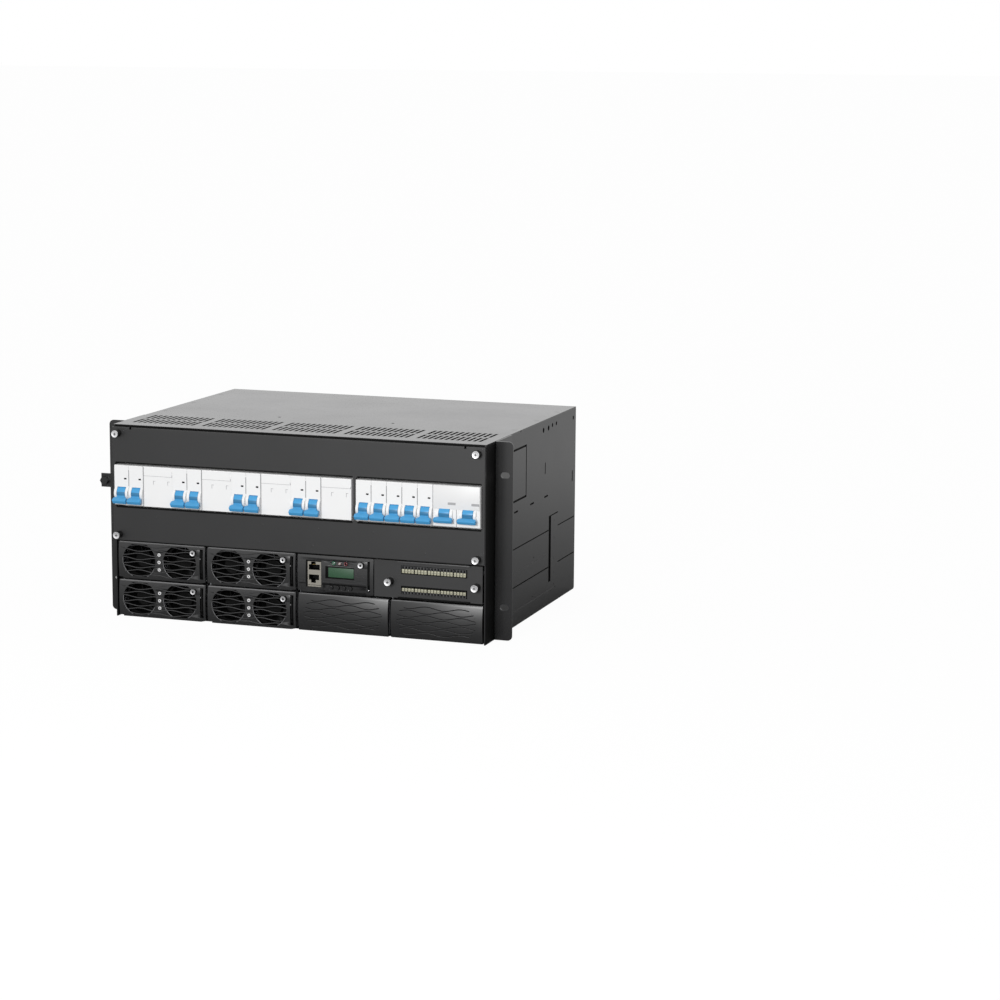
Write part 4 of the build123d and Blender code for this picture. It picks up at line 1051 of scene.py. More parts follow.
@dataclass(frozen=True)
class Pattern:
    """A piece that is modelled once, in the first module, and copied to every module of its kind."""

    piece: Piece
    role: str
    material: Material | None
    body: str = ""
    slot: str | None = "module_black"
    replaced: str | None = None


def spread(patterns: list[Pattern], stems: list[str], corner: str) -> None:
    """Copies each pattern to every module of a kind, where it rides on that module's own body.

    Args:
        patterns: the pieces, modelled in the first module.
        stems: the modules' names, the first one first.
        corner: what follows a module's name in the name of the CAD node whose corner places it.
    """
    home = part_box(stems[0] + corner)[0]
    for stem in stems:
        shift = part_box(stem + corner)[0] - home
        for pattern in patterns:
            twin = copied(pattern.piece, f"{stem}_{pattern.role}", shift)
            show(twin, stem + pattern.body, pattern.material)
            if pattern.replaced is not None:
                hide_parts(stem + pattern.replaced)
    for pattern in patterns:
        bpy.data.objects.remove(pattern.piece)


# Captive screws and lamps


class Recess(Enum):
    """The two shapes of the recess in a screw's head."""

    CROSS = "cross"
    ROUND = "round"


@dataclass(frozen=True)
class CaptiveScrew:
    """A thumb screw: a bright head with a recess on a knurled black sleeve."""

    recess: Recess = Recess.CROSS
    head_radius: float = 3.95 * MM
    head_length: float = 1.7 * MM
    sleeve_radius: float = 3.8 * MM
    sleeve_length: float = 8.3 * MM
    head_round: float = 0.35 * MM
    dish_rim: float = 0.75 * MM
    dish_depth: float = 0.25 * MM
    cross_width: float = 0.8 * MM
    cross_share: float = 0.42
    cross_depth: float = 0.9 * MM
    round_share: float = 0.42
    knurl_count: int = 24
    knurl_edge: float = 0.06 * MM
    knurl_rise: float = 0.14 * MM
    flank_limit: float = 0.5
    turn_slack: float = 0.01

    def build(self, seat: Vector) -> tuple[Piece, Piece]:
        """Models one screw that stands on its seat and points at the front.

        Args:
            seat: the middle of the plane that the sleeve stands on.

        Returns:
            The bright head and the dark sleeve with the floor of the recess.
        """
        face = seat.y - self.sleeve_length - self.head_length
        head = drum("head", (seat.x, face + self.head_length / 2, seat.z), self.head_radius,
                    self.head_length, Way.DEEP)
        inset(head, faces_front, self.dish_rim, self.dish_depth)
        round_edges(head, self.head_round)
        cuts, floors = self.build_recess(Vector((seat.x, face, seat.z)))
        cut_with(head, cuts)
        sleeve = self.build_sleeve(seat)
        return smooth(head), joined("sleeve", [sleeve, *floors])

    def build_recess(self, centre: Vector) -> tuple[list[Piece], list[Piece]]:
        """Models what is cut out of the head.

        Args:
            centre: the middle of the head's front.

        Returns:
            The pieces that cut, and the thin dark floors that stay at their bottom.
        """
        starts = (-self.dish_depth, self.cross_depth - self.dish_depth)
        if self.recess is Recess.ROUND:
            return tuple([drum("recess", centre + Vector((0.0, (start + self.cross_depth) / 2, 0.0)),
                               self.head_radius * self.round_share, self.cross_depth - start, Way.DEEP,
                               sides=24)] for start in starts)
        reach, half = self.head_radius * self.cross_share, self.cross_width / 2
        return tuple([block("recess", centre + Vector((-wide, start, -tall)),
                            centre + Vector((wide, self.cross_depth, tall)))
                      for wide, tall in ((reach, half), (half, reach))] for start in starts)

    def build_sleeve(self, seat: Vector) -> Piece:
        """Models the knurled sleeve between the seat and the head."""
        middle = seat - Vector((0.0, self.sleeve_length / 2, 0.0))
        sleeve = drum("sleeve", middle, self.sleeve_radius, self.sleeve_length, Way.DEEP,
                      sides=2 * self.knurl_count)
        step = math.pi / self.knurl_count

        def ridge(centre: Vector, normal: Vector) -> bool:
            """Tells if a face is every other one round the sleeve."""
            turn = math.atan2(centre.z - seat.z, centre.x - seat.x)
            flat = int((turn + math.pi) / step + self.turn_slack)
            return abs(normal.y) < self.flank_limit and flat % 2 == 0

        pick_faces(sleeve, ridge)
        bpy.ops.mesh.inset(thickness=self.knurl_edge, depth=self.knurl_rise, use_individual=True)
        bpy.ops.object.mode_set(mode="OBJECT")
        return sleeve


@dataclass(frozen=True)
class LeverFittings:
    """What shows of a locking lever in a module's front: its captive screw, tab and pivot pin."""

    screw_x: float
    slit_left: float
    pin_x: float
    pin_z: float
    pin_radius: float
    screw_z: float = 34.6 * MM
    screw_out: float = 3.2 * MM
    head_radius: float = 3.1 * MM
    head_length: float = 1.4 * MM
    sleeve_radius: float = 3.0 * MM
    tab_half: float = 4.0 * MM
    tab_out: float = 0.1 * MM
    tab_back: float = -0.5 * MM
    tab_corner: float = 0.15 * MM

    def build_screw(self, face: Face) -> tuple[Piece, Piece]:
        """Models the captive screw's bright head and its sleeve."""
        screw = CaptiveScrew(Recess.ROUND, self.head_radius, self.head_length, self.sleeve_radius,
                             self.screw_out)
        return screw.build(face.at(self.screw_x, self.screw_z))

    def build_tab(self, face: Face) -> Piece:
        """Models the small plate that the screw holds against the front, up to the lever's slit."""
        foot, top = self.screw_z - self.tab_half, self.screw_z + self.tab_half
        plate = block("tab", face.at(self.screw_x - self.tab_half, foot, self.tab_out),
                      face.at(self.slit_left, top, self.tab_back))
        return round_edges(plate, self.tab_corner)

    def build_pin(self, face: Face) -> Piece:
        """Models the bright end of the pin at the foot of the lever's slit."""
        pin = drum("pin", face.at(self.pin_x, self.pin_z, -self.pin_radius / 2), self.pin_radius,
                   self.pin_radius, Way.DEEP, sides=20)
        return round_edges(pin, self.pin_radius / 3)


@dataclass(frozen=True)
class Lamp:
    """A lamp in a module's front: a domed lens inside a ring."""

    ring_radius: float
    ring_wire: float
    ring_out: float
    eye_radius: float
    eye_length: float

    def build_ring(self, face: Face, x: float, z: float) -> Piece:
        """Models the ring."""
        return hoop("ring", face.at(x, z, self.ring_out), self.ring_radius, self.ring_wire)

    def build_eye(self, face: Face, x: float, z: float) -> Piece:
        """Models the lens."""
        eye = drum("eye", face.at(x, z, self.eye_length / 2 + self.ring_out / 2), self.eye_radius,
                   self.eye_length, Way.DEEP, sides=24)
        return round_edges(eye, self.eye_length / 2, 3)


@dataclass
class CoverScrews:
    """The four captive screws of the front cover."""

    head_inset: float = 3.9 * MM

    def build(self, palette: Palette) -> None:
        """Stands a screw at each corner of the cover, in place of the plain CAD ones."""
        low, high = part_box("cover_screws")
        seat_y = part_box("front_cover")[0].y
        first = Vector((low.x + self.head_inset, seat_y, low.z + self.head_inset))
        head, sleeve = CaptiveScrew().build(first)
        span = high - low - 2 * Vector((self.head_inset, 0.0, self.head_inset))
        shifts = [Vector((x, 0.0, z)) for x in (0.0, span.x) for z in (0.0, span.z)]
        heads = joined("cover_screw_heads", [copied(head, "head", shift) for shift in shifts])
        sleeves = joined("cover_screw_sleeves", [copied(sleeve, "sleeve", shift) for shift in shifts])
        for piece in (head, sleeve):
            bpy.data.objects.remove(piece)
        show(heads, "cover", palette.nickel)
        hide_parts("cover_screws")
        show(sleeves, "cover", palette.sleeve)


# The breaker row


class Toggle(Enum):
    """The two sizes of breaker, by the number of their first toggle."""

    NARROW = 1
    WIDE = 14


@dataclass
class BreakerRow:
    """Marks, seams and windows on the breakers' faces, and the moulding of their toggles."""

    count: int = 15
    pair_count: int = 4
    pitch: float = 17.85 * MM
    wide_pitch: float = 27.0 * MM
    body_depth: float = 64.0 * MM
    axis_z: float = 152.35 * MM
    face_height: float = 45.3 * MM
    seam_width: float = 0.9 * MM
    skin: float = 0.06 * MM
    seam_low: float = 151.5 * MM
    seam_high: float = 170.0 * MM
    flag_size: Pair = (3.1 * MM, 2.1 * MM)
    flag_offset: float = 4.3 * MM
    flag_lift: float = 7.45 * MM
    mark_shares: Pair = (0.345, 0.835)
    mark_top: float = 159.3 * MM
    mark_arm: float = 2.6 * MM
    mark_leg: float = 4.2 * MM
    mark_line: float = 0.35 * MM
    label_low: float = 164.7 * MM
    label_shadow_line: float = 0.3 * MM
    plate_low: float = 149.2 * MM
    plate_high: float = 174.9 * MM
    plate_rise: float = 0.8 * MM
    plate_round: float = 0.4 * MM
    bar_offset: float = 8.3 * MM
    bar_half: float = 4.5 * MM
    bar_z: float = 155.3 * MM
    bar_height: float = 2.7 * MM
    toggle_round: float = 0.3 * MM
    wide_squeeze: float = 0.87

    def middle(self, number: int) -> float:
        """The width at which a breaker's middle lies."""
        low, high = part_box(f"toggle_{number:02d}")
        return (low.x + high.x) / 2

    def face(self) -> float:
        """The depth of the breakers' faces: the plane that the blanks' label strips lie in."""
        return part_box("breaker_row")[1].y - self.body_depth

    def build(self, palette: Palette) -> None:
        """Dresses the whole row."""
        y = self.face()
        show_all([
            ("breaker_seams", self.build_seams(y), "shelf", palette.seam, None),
            ("breaker_flags", self.build_flags(y), "shelf", palette.dark, None),
            ("blank_marks", self.build_blank_marks(y), "shelf", palette.pale_mark, None),
            ("wide_breaker_plates", self.build_plates(y), "shelf", palette.plate, "breaker_white"),
            ("wide_breaker_bars", self.build_bars(y), "shelf", palette.pale_mark, None),
        ])
        foot, top = (corner.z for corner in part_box("toggle_01"))
        # The toggles' darker bands are painted shade.
        blue = ShadeBandedMoulding("toggle_moulding", TOGGLE_BLUE, foot=foot, top=top).build()
        for number in range(Toggle.NARROW.value, self.count + 1):
            node = f"toggle_{number:02d}"
            toggle = round_edges(merged_copy(node, f"{node}_moulding"), self.toggle_round, 3)
            if number >= Toggle.WIDE.value:
                for vertex in toggle.data.vertices:
                    vertex.co.z = top - (top - vertex.co.z) * self.wide_squeeze
            show(toggle, node, blue)
            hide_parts(node)

    def strip(self, left: float, right: float, low: float, high: float, y: float, rise: float) -> Piece:
        """A thin raised strip on a breaker's face."""
        return block("strip", (left, y - rise, low), (right, y + self.skin, high))

    def build_seams(self, y: float) -> Piece:
        """Models the dark joints between neighbours: short inside a group, full beside a blank."""
        foot, top = self.axis_z - self.face_height / 2, self.axis_z + self.face_height / 2
        edge, half = self.middle(Toggle.WIDE.value) + self.wide_pitch / 2, self.mark_line
        strips = [self.strip(edge - half, edge + half, foot, self.plate_low, y, self.skin)]
        half = self.seam_width / 2
        for number in range(Toggle.NARROW.value, Toggle.WIDE.value):
            edge = self.middle(number) + self.pitch / 2
            beside_blank = number <= 2 * self.pair_count and number % 2 == 0
            full = beside_blank or number == Toggle.WIDE.value - 1
            low, high = (foot, top) if full else (self.seam_low, self.seam_high)
            strips.append(self.strip(edge - half, edge + half, low, high, y, self.skin))
        return joined("seams", strips)

    def build_flags(self, y: float) -> Piece:
        """Models the dark position window of each narrow breaker."""
        width, height = self.flag_size
        return joined("flags", [
            round_edges(slab("flag", self.middle(number) + self.flag_offset, self.axis_z + self.flag_lift,
                             width, height, y - self.skin, y + self.plate_rise), self.plate_round)
            for number in range(Toggle.NARROW.value, Toggle.WIDE.value)])

    def build_blank_marks(self, y: float) -> Piece:
        """Models the moulded corner marks on each blank, and thin grey lines along the label strip's lower
        and right edges, which are painted shadow under the strip's step.
        """
        line, top, low, width = self.mark_line, self.mark_top, self.label_low, 2 * self.pitch
        boxes = []
        for pair in range(self.pair_count):
            left = self.middle(2 * pair + 2) + self.pitch / 2
            right = left + width - line
            for x in (left + share * width for share in self.mark_shares):
                boxes += [(x, x + self.mark_arm, top - line, top), (x, x + line, top - self.mark_leg, top)]
            # The label strip's edge lines are painted shadow under its step.
            boxes += [(left + line, right, low - self.label_shadow_line, low),
                      (right - self.label_shadow_line, right, low - line, low + self.mark_leg / 2)]
        return joined("marks", [self.strip(*box, y, self.skin) for box in boxes])

    def build_plates(self, y: float) -> Piece:
        """Models the plain stepped panel over the upper half of the two wide breakers."""
        half = self.wide_pitch / 2 - self.mark_line
        plate = self.strip(self.middle(Toggle.WIDE.value) - half, self.middle(self.count) + half,
                           self.plate_low, self.plate_high, y, self.plate_rise)
        return round_edges(plate, self.plate_round)

    def build_bars(self, y: float) -> Piece:
        """Models the plain grey bar on each wide breaker."""
        front = y - self.plate_rise
        return joined("bars", [
            slab("bar", self.middle(number) + self.bar_offset, self.bar_z, 2 * self.bar_half,
                 self.bar_height, front - self.skin, front + self.skin)
            for number in range(Toggle.WIDE.value, self.count + 1)])


# The rectifiers


@dataclass
class RectifierFront:
    """A rectifier's face: rounded wavy bars, pale arcs painted as highlights on the openings' rims, lamp
    rings, the lever's screw and the fans, with painted shade in their ducts.
    """

    fans: Pair = (25.5 * MM, 75.5 * MM)
    fan_z: float = 21.2 * MM
    grille_radius: float = 20.3 * MM
    arc_radius: float = 0.4 * MM
    arc_steps: int = 20
    arcs: tuple[Pair, ...] = ((172.0, 244.0), (297.0, 335.0))
    crown_depth: float = 1.5 * MM
    wall_tilt: float = 0.7
    bead_drop: float = 0.9 * MM
    bead_margin: float = 1.2 * MM
    bead_radius: float = 0.85 * MM
    wave_count: int = 8
    wave_pitch: float = 4.75 * MM
    wave_swing: float = 1.25 * MM
    wave_length: float = 39.4 * MM
    wave_phase: float = 9.0 * MM
    wave_steps: int = 56
    bar_radius: float = 0.55 * MM
    bar_out: float = 0.1 * MM
    bar_overrun: float = 1.3 * MM
    lamp_x: float = 50.5 * MM
    lamp_z: Triple = (12.2 * MM, 20.75 * MM, 29.3 * MM)
    lamp: Lamp = Lamp(1.4 * MM, 0.6 * MM, 0.45 * MM, 1.0 * MM, 0.5 * MM)
    lever: LeverFittings = LeverFittings(93.3 * MM, 100.4 * MM, 100.6 * MM, 27.8 * MM, 0.8 * MM)
    frame_back: float = 9.0 * MM
    frame_half: float = 18.5 * MM
    duct_radius: float = 17.9 * MM
    duct_depth: float = 12.5 * MM
    duct_sides: int = 64
    liner_wall: float = 0.2 * MM
    liner_skin: float = 0.04 * MM
    rotor_front: float = 11.5 * MM
    hub_radius: float = 9.5 * MM
    hub_length: float = 9.6 * MM
    hub_round: float = 1.2 * MM
    tip_radius: float = 17.2 * MM
    blade_count: int = 7
    blade_sweep: float = math.radians(44)
    blade_steps: int = 9
    blade_spans: int = 3
    blade_start: float = 1.0 * MM
    blade_reach: float = 7.6 * MM
    blade_camber: float = 1.3 * MM
    blade_wall: float = 0.9 * MM

    def build(self, palette: Palette, stems: list[str]) -> None:
        """Models one face and copies it to every rectifier.

        Args:
            palette: the finishes.
            stems: the rectifiers' names.
        """
        bezel = f"{stems[0]}_bezel"
        face = face_of(bezel)
        head, sleeve = self.lever.build_screw(face)
        crown = Crown(*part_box(bezel), self.crown_depth)
        lamps = [(self.lamp_x, z) for z in self.lamp_z]
        rings = joined("rings", [self.lamp.build_ring(face, x, z) for x, z in lamps])
        eyes = joined("eyes", [self.lamp.build_eye(face, x, z) for x, z in lamps])
        spread([
            Pattern(self.build_front(crown, bezel, face, palette), "front", None, replaced="_bezel"),
            # The bead along the top edge is a painted highlight.
            Pattern(crown.bead("bead", self.bead_drop, self.bead_margin, self.bead_radius), "top_painted_highlight",
                    palette.edge),
            # The bars' paler black is partly a painted highlight.
            Pattern(crown.bend(self.build_bars(face)), "grille_bars", palette.bar),
            # The pale arcs are painted highlights on the lower rims.
            Pattern(crown.bend(self.build_highlight_arcs(face)), "grille_highlight_arcs", palette.rim),
            Pattern(crown.bend(rings), "lamp_rings", palette.ring, slot=None),
            Pattern(crown.bend(eyes), "lamp_eyes", palette.eye, slot=None),
            Pattern(head, "screw_head", palette.nickel, "_handle", "nickel"),
            Pattern(sleeve, "screw_sleeve", palette.sleeve, "_handle"),
            # The pin end beside the slit takes the pale rim grey: a painted highlight of the lever's edge.
            Pattern(crown.bend(self.lever.build_pin(face)), "lever_pin", palette.rim, slot="nickel"),
            # The black skins in the fan ducts are painted shade.
            Pattern(self.build_fan_shade_liners(face), "fan_shade_liners", palette.dark, slot="rotor_black"),
            Pattern(self.lever.build_tab(face), "lever_tab", palette.module, "_handle"),
            *(Pattern(self.build_rotor(face, x), f"{side}_blades", palette.rotor, f"_fan_{side}",
                      "rotor_black", f"_rotor_{side}") for side, x in zip(("left", "right"), self.fans)),
        ], stems, "_bezel")

    def build_front(self, crown: Crown, node: str, face: Face, palette: Palette) -> Piece:
        """Models the bulged bezel, with painted shade: the walls inside its two openings take the dark
        finish.

        Args:
            crown: the bulge.
            node: the bezel's CAD node.
            face: the rectifier's face.
            palette: the finishes.

        Returns:
            The front.
        """
        front = crown.front(merged_copy(node, "front"))
        front.data.materials.clear()
        for material in (palette.module, palette.dark):
            front.data.materials.append(material)
        centres = [face.at(x, self.fan_z) for x in self.fans]
        # The walls inside the openings get the dark finish: painted shade.
        reach = self.grille_radius + self.bar_overrun
        for polygon in front.data.polygons:
            at = polygon.center
            away = min(math.hypot(at.x - centre.x, at.z - centre.z) for centre in centres)
            polygon.material_index = int(away < reach and polygon.normal.y > -self.wall_tilt)
        return front

    def wave(self, x: float, rise: float, index: int) -> float:
        """The height of one bar at width x; neighbours swing the opposite way."""
        swing = -self.wave_swing if index % 2 else self.wave_swing
        return self.fan_z + rise + swing * math.cos(math.tau * (x - self.fans[1] - self.wave_phase)
                                                    / self.wave_length)

    def build_bars(self, face: Face) -> Piece:
        """Models the rounded fronts of the bars, which run on over the strip between the fans."""
        bars = []
        for i, rise in enumerate(evenly(self.wave_count, self.wave_pitch)):
            reach = math.sqrt(self.grille_radius ** 2 - rise ** 2) + self.bar_overrun
            start, span = self.fans[0] - reach, self.fans[1] - self.fans[0] + 2 * reach
            widths = [start + span * step / self.wave_steps for step in range(self.wave_steps + 1)]
            bars.append(tube("bar", [face.at(x, self.wave(x, rise, i), self.bar_out) for x in widths],
                             self.bar_radius))
        return joined("bars", bars)

    def build_highlight_arcs(self, face: Face) -> Piece:
        """Models the thin pale edge along the lower half of the two openings: a painted highlight where the
        rims face the light from above.
        """
        arcs, radius = [], self.grille_radius
        for x in self.fans:
            for start, end in self.arcs:
                turns = [math.radians(start + (end - start) * step / self.arc_steps)
                         for step in range(self.arc_steps + 1)]
                line = [face.at(x + radius * math.cos(turn), self.fan_z + radius * math.sin(turn))
                        for turn in turns]
                arcs.append(tube("arc", line, self.arc_radius))
        return joined("arcs", arcs)

    def build_fan_shade_liners(self, face: Face) -> Piece:
        """Models thin black skins over the two fan ducts and the frame round them: painted shade inside the
        openings.
        """
        liners = []
        for x in self.fans:
            mouth = face.at(x, self.fan_z, -self.frame_back)
            middle = mouth + Vector((0.0, self.duct_depth / 2, 0.0))
            half = Vector((self.frame_half, self.liner_skin, self.frame_half))
            outer, inner = self.duct_radius - self.liner_skin, self.duct_radius - self.liner_wall
            for piece in (block("flange", mouth - half, mouth + half),
                          drum("liner", middle, outer, self.duct_depth, Way.DEEP, self.duct_sides)):
                hole = drum("hole", middle, inner, 2 * self.duct_depth, Way.DEEP, self.duct_sides)
                liners.append(cut_with(piece, [hole]))
        return joined("liners", liners)

    def build_rotor(self, face: Face, fan_x: float) -> Piece:
        """Models a fan rotor: a rounded hub and swept, cambered blades.

        Args:
            face: the rectifier's face.
            fan_x: the width of the fan's axis.

        Returns:
            The rotor.
        """
        centre = face.at(fan_x, self.fan_z, -self.rotor_front)
        hub = drum("hub", centre + Vector((0.0, self.hub_length / 2, 0.0)), self.hub_radius,
                   self.hub_length, Way.DEEP, sides=48)
        inset(hub, faces_front, self.hub_radius / 3, self.hub_round / 2)
        round_edges(hub, self.hub_round / 2, 3)
        blade = self.build_blade(centre)
        blades = []
        for i in range(self.blade_count):
            twin = copied(blade, "blade", (0.0, 0.0, 0.0))
            about = Matrix.Translation(centre)
            twin.data.transform(about @ Matrix.Rotation(math.tau * i / self.blade_count, 4, "Y")
                                @ about.inverted())
            blades.append(twin)
        bpy.data.objects.remove(blade)
        return joined("rotor", [hub, *blades])

    def build_blade(self, centre: Vector) -> Piece:
        """Models one blade by extruding a radial edge step by step round the hub and backwards."""
        clear_selection()
        bpy.ops.mesh.primitive_plane_add(size=1.0, location=centre)
        blade = settle("blade")
        bpy.ops.object.mode_set(mode="EDIT")
        bpy.ops.mesh.select_mode(type="VERT")
        bpy.ops.mesh.select_all(action="SELECT")
        bpy.ops.mesh.merge(type="CENTER")
        root = self.hub_radius - self.blade_wall
        bpy.ops.transform.translate(value=(root, self.blade_start, 0.0))
        span = (self.tip_radius - root) / self.blade_spans
        for _ in range(self.blade_spans):
            bpy.ops.mesh.extrude_region_move(TRANSFORM_OT_translate={"value": (span, 0.0, 0.0)})
        bpy.ops.mesh.select_all(action="SELECT")
        turn = self.blade_sweep / self.blade_steps
        camber = self.blade_camber * math.pi
        for step in range(self.blade_steps):
            share = (step + 0.5) / self.blade_steps
            back = (self.blade_reach + camber * math.cos(math.pi * share)) / self.blade_steps
            bpy.ops.mesh.extrude_region_move(TRANSFORM_OT_translate={"value": (0.0, back, 0.0)})
            bpy.ops.transform.rotate(value=turn, orient_axis="Y", center_override=centre)
        bpy.ops.mesh.select_all(action="SELECT")
        bpy.ops.mesh.remove_doubles(threshold=WELDED / 2)
        bpy.ops.mesh.normals_make_consistent(inside=False)
        bpy.ops.object.mode_set(mode="OBJECT")
        return smooth(finish_with(blade, "SOLIDIFY", thickness=self.blade_wall, offset=0.0), ROUNDED)


# The controller


class Signal(Enum):
    """The controller's three lamps from left to right."""

    RUN = 0
    ALARM = 1
    FAULT = 2


@dataclass
class ControllerFront:
    """The controller's face: jacks, display, lamps, keys, grain lines and the lever's screw."""

    width: float = 89.5 * MM
    height: float = 42.4 * MM
    shell_back: float = 0.6 * MM
    shell_left: float = 9.9 * MM
    shell_right: float = 27.7 * MM
    shell_low: float = 6.4 * MM
    shell_high: float = 35.8 * MM
    shade_width: float = 1.9 * MM
    shade_height: float = 1.2 * MM
    shade_out: float = 0.3 * MM
    shell_sheet: float = 0.8 * MM
    jack_openings: tuple[Quad, ...] = (
        (13.2 * MM, 26.2 * MM, 25.4 * MM, 31.4 * MM), (15.8 * MM, 21.4 * MM, 31.2 * MM, 34.4 * MM),
        (13.2 * MM, 25.2 * MM, 14.0 * MM, 20.0 * MM), (15.8 * MM, 21.4 * MM, 10.8 * MM, 14.2 * MM))
    jack_roofs: Pair = (31.2 * MM, 19.8 * MM)
    jack_middle: float = 19.4 * MM
    jack_depth: float = 11.8 * MM
    jack_wall: float = 0.45 * MM
    jack_line: float = 8.0 * MM
    contact_count: int = 8
    contact_pitch: float = 1.02 * MM
    contact_radius: float = 0.2 * MM
    contact_drop: float = 2.6 * MM
    display_left: float = 33.3 * MM
    display_right: float = 66.7 * MM
    display_low: float = 17.4 * MM
    display_high: float = 30.3 * MM
    display_back: float = 1.0 * MM
    glass_rise: float = 0.25 * MM
    pane_left_margin: float = 3.0 * MM
    pane_margin: float = 1.1 * MM
    lamp_x: Triple = (42.9 * MM, 49.95 * MM, 57.0 * MM)
    lamp_z: float = 34.4 * MM
    lamp: Lamp = Lamp(1.6 * MM, 0.5 * MM, 0.4 * MM, 1.2 * MM, 0.7 * MM)
    crown_depth: float = 1.5 * MM
    ledge_z: float = 9.9 * MM
    ledge_height: float = 0.8 * MM
    ledge_out: float = 0.25 * MM
    ledge_runs: tuple[Pair, ...] = ((1.5 * MM, 9.4 * MM), (28.6 * MM, 81.6 * MM))
    key_x: Quad = (39.5 * MM, 47.0 * MM, 54.5 * MM, 62.0 * MM)
    key_z: float = 7.0 * MM
    key_radius: float = 2.5 * MM
    key_out: float = 1.0 * MM
    key_ring: float = 0.22 * MM
    lever: LeverFittings = LeverFittings(75.9 * MM, 82.8 * MM, 83.95 * MM, 6.3 * MM, 0.7 * MM)
    grain_shares: tuple[Quad, ...] = (
        (0.01, 0.10, 0.80, 0.008), (0.01, 0.10, 0.71, -0.006), (0.01, 0.10, 0.36, 0.006),
        (0.01, 0.10, 0.28, -0.006), (0.33, 0.47, 0.89, 0.012), (0.66, 0.79, 0.76, 0.01),
        (0.33, 0.36, 0.66, 0.0), (0.76, 0.91, 0.66, 0.016), (0.76, 0.91, 0.57, -0.012),
        (0.76, 0.91, 0.49, 0.016), (0.33, 0.91, 0.36, 0.014), (0.33, 0.91, 0.31, -0.012))
    grain_steps: int = 24
    grain_waves: float = 2.0
    grain_radius: float = 0.2 * MM

    def build(self, palette: Palette) -> None:
        """Dresses the controller."""
        face = face_of("controller_bezel")
        head, sleeve = self.lever.build_screw(face)
        crown = Crown(*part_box("controller_bezel"), self.crown_depth)
        front = crown.front(merged_copy("controller_bezel", "controller_front"))
        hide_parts("controller_bezel")
        shell, liners = self.build_jacks(face)
        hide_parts("controller_ports")
        pieces = [
            ("controller_front", front, "controller", palette.module, "module_black"),
            ("controller_jack_shell", shell, "controller", palette.shell, "nickel"),
            ("controller_jack_liners", liners, "controller", palette.dark, None),
            ("controller_contacts", self.build_contacts(face), "controller", palette.gold, None),
            ("controller_glass", self.build_glass(face), "controller", palette.dark, None),
            ("controller_pane", self.build_pane(face), "controller", palette.display, "display_green"),
            ("controller_ledge_shadow", crown.bend(self.build_ledge_shadow(face)), "controller", palette.dark, None),
            # The grain lines' paler black is partly a painted highlight.
            ("controller_grain", crown.bend(self.build_grain(face)), "controller", palette.bar,
             "module_black"),
            ("controller_lever_tab", self.lever.build_tab(face), "controller_handle", palette.module,
             "module_black"),
            ("controller_screw_head", head, "controller_handle", palette.nickel, "nickel"),
            ("controller_screw_sleeve", sleeve, "controller_handle", palette.sleeve, "module_black"),
            ("controller_lever_pin", self.lever.build_pin(face), "controller", palette.nickel, "nickel"),
        ]
        lenses = {Signal.RUN: (palette.lamp_green, palette.eye),
                  Signal.ALARM: (palette.lamp_brown, palette.lamp_white),
                  Signal.FAULT: (palette.lamp_red, palette.dark)}
        for signal, (ring, eye) in lenses.items():
            lamp = crown.bend(self.build_lamp(face, self.lamp_x[signal.value], ring, eye))
            pieces.append((f"controller_lamp_{signal.name.lower()}", lamp, "controller", None, None))
        for number, x in enumerate(self.key_x, start=1):
            rim = hoop("rim", face.at(x, self.key_z, self.key_out), self.key_radius - 2 * self.key_ring,
                       self.key_ring, facets=10)
            key = f"controller_key_{number}"
            pieces.append((f"{key}_rim", rim, key, palette.key_rim, "key_grey"))
        show_all(pieces)

    def build_jacks(self, face: Face) -> tuple[Piece, Piece]:
        """Models the sheet front of the two jacks and the black insides behind it.

        Args:
            face: the controller's face.

        Returns:
            The sheet front, and the insides with the dark margin beside and above the sheet.
        """
        back = -self.shell_back
        left, top = self.shell_left + self.shade_width, self.shell_high - self.shade_height
        shell = block("shell", face.at(left, self.shell_low, back),
                      face.at(self.shell_right, top, back - self.shell_sheet))
        line_high = self.jack_line + self.jack_wall
        cut_with(shell, [self.opening(face, box, self.shell_sheet) for box in self.jack_openings]
                 + [self.opening(face, (left, self.shell_right, self.jack_line, line_high), self.jack_wall)])
        behind = back - self.shell_sheet / 2
        liner = block("liner", face.at(self.shell_left, self.shell_low, behind),
                      face.at(self.shell_right, self.shell_high, behind - self.jack_depth))
        cut_with(liner, [self.opening(face, box, self.jack_depth - self.jack_wall)
                         for box in self.jack_openings])
        return shell, joined("liners", [
            liner,
            block("margin", face.at(self.shell_left, self.shell_low, behind),
                  face.at(left, self.shell_high, back)),
            block("margin", face.at(left, top, behind), face.at(self.shell_right, self.shell_high, back)),
        ])

    def opening(self, face: Face, box: Quad, depth: float) -> Piece:
        """A block that cuts an opening, given by its four edges, to a depth behind the jacks' front."""
        left, right, low, high = box
        return block("opening", face.at(left, low, self.shade_out),
                     face.at(right, high, -self.shell_back - depth))

    def build_ledge_shadow(self, face: Face) -> Piece:
        """Models a dark strip along the step across the face above the keys: painted shade under the step."""
        half = self.ledge_height / 2
        return joined("ledge", [
            block("ledge", face.at(start, self.ledge_z - half, -self.ledge_out),
                  face.at(end, self.ledge_z + half, self.ledge_out / 2)) for start, end in self.ledge_runs])

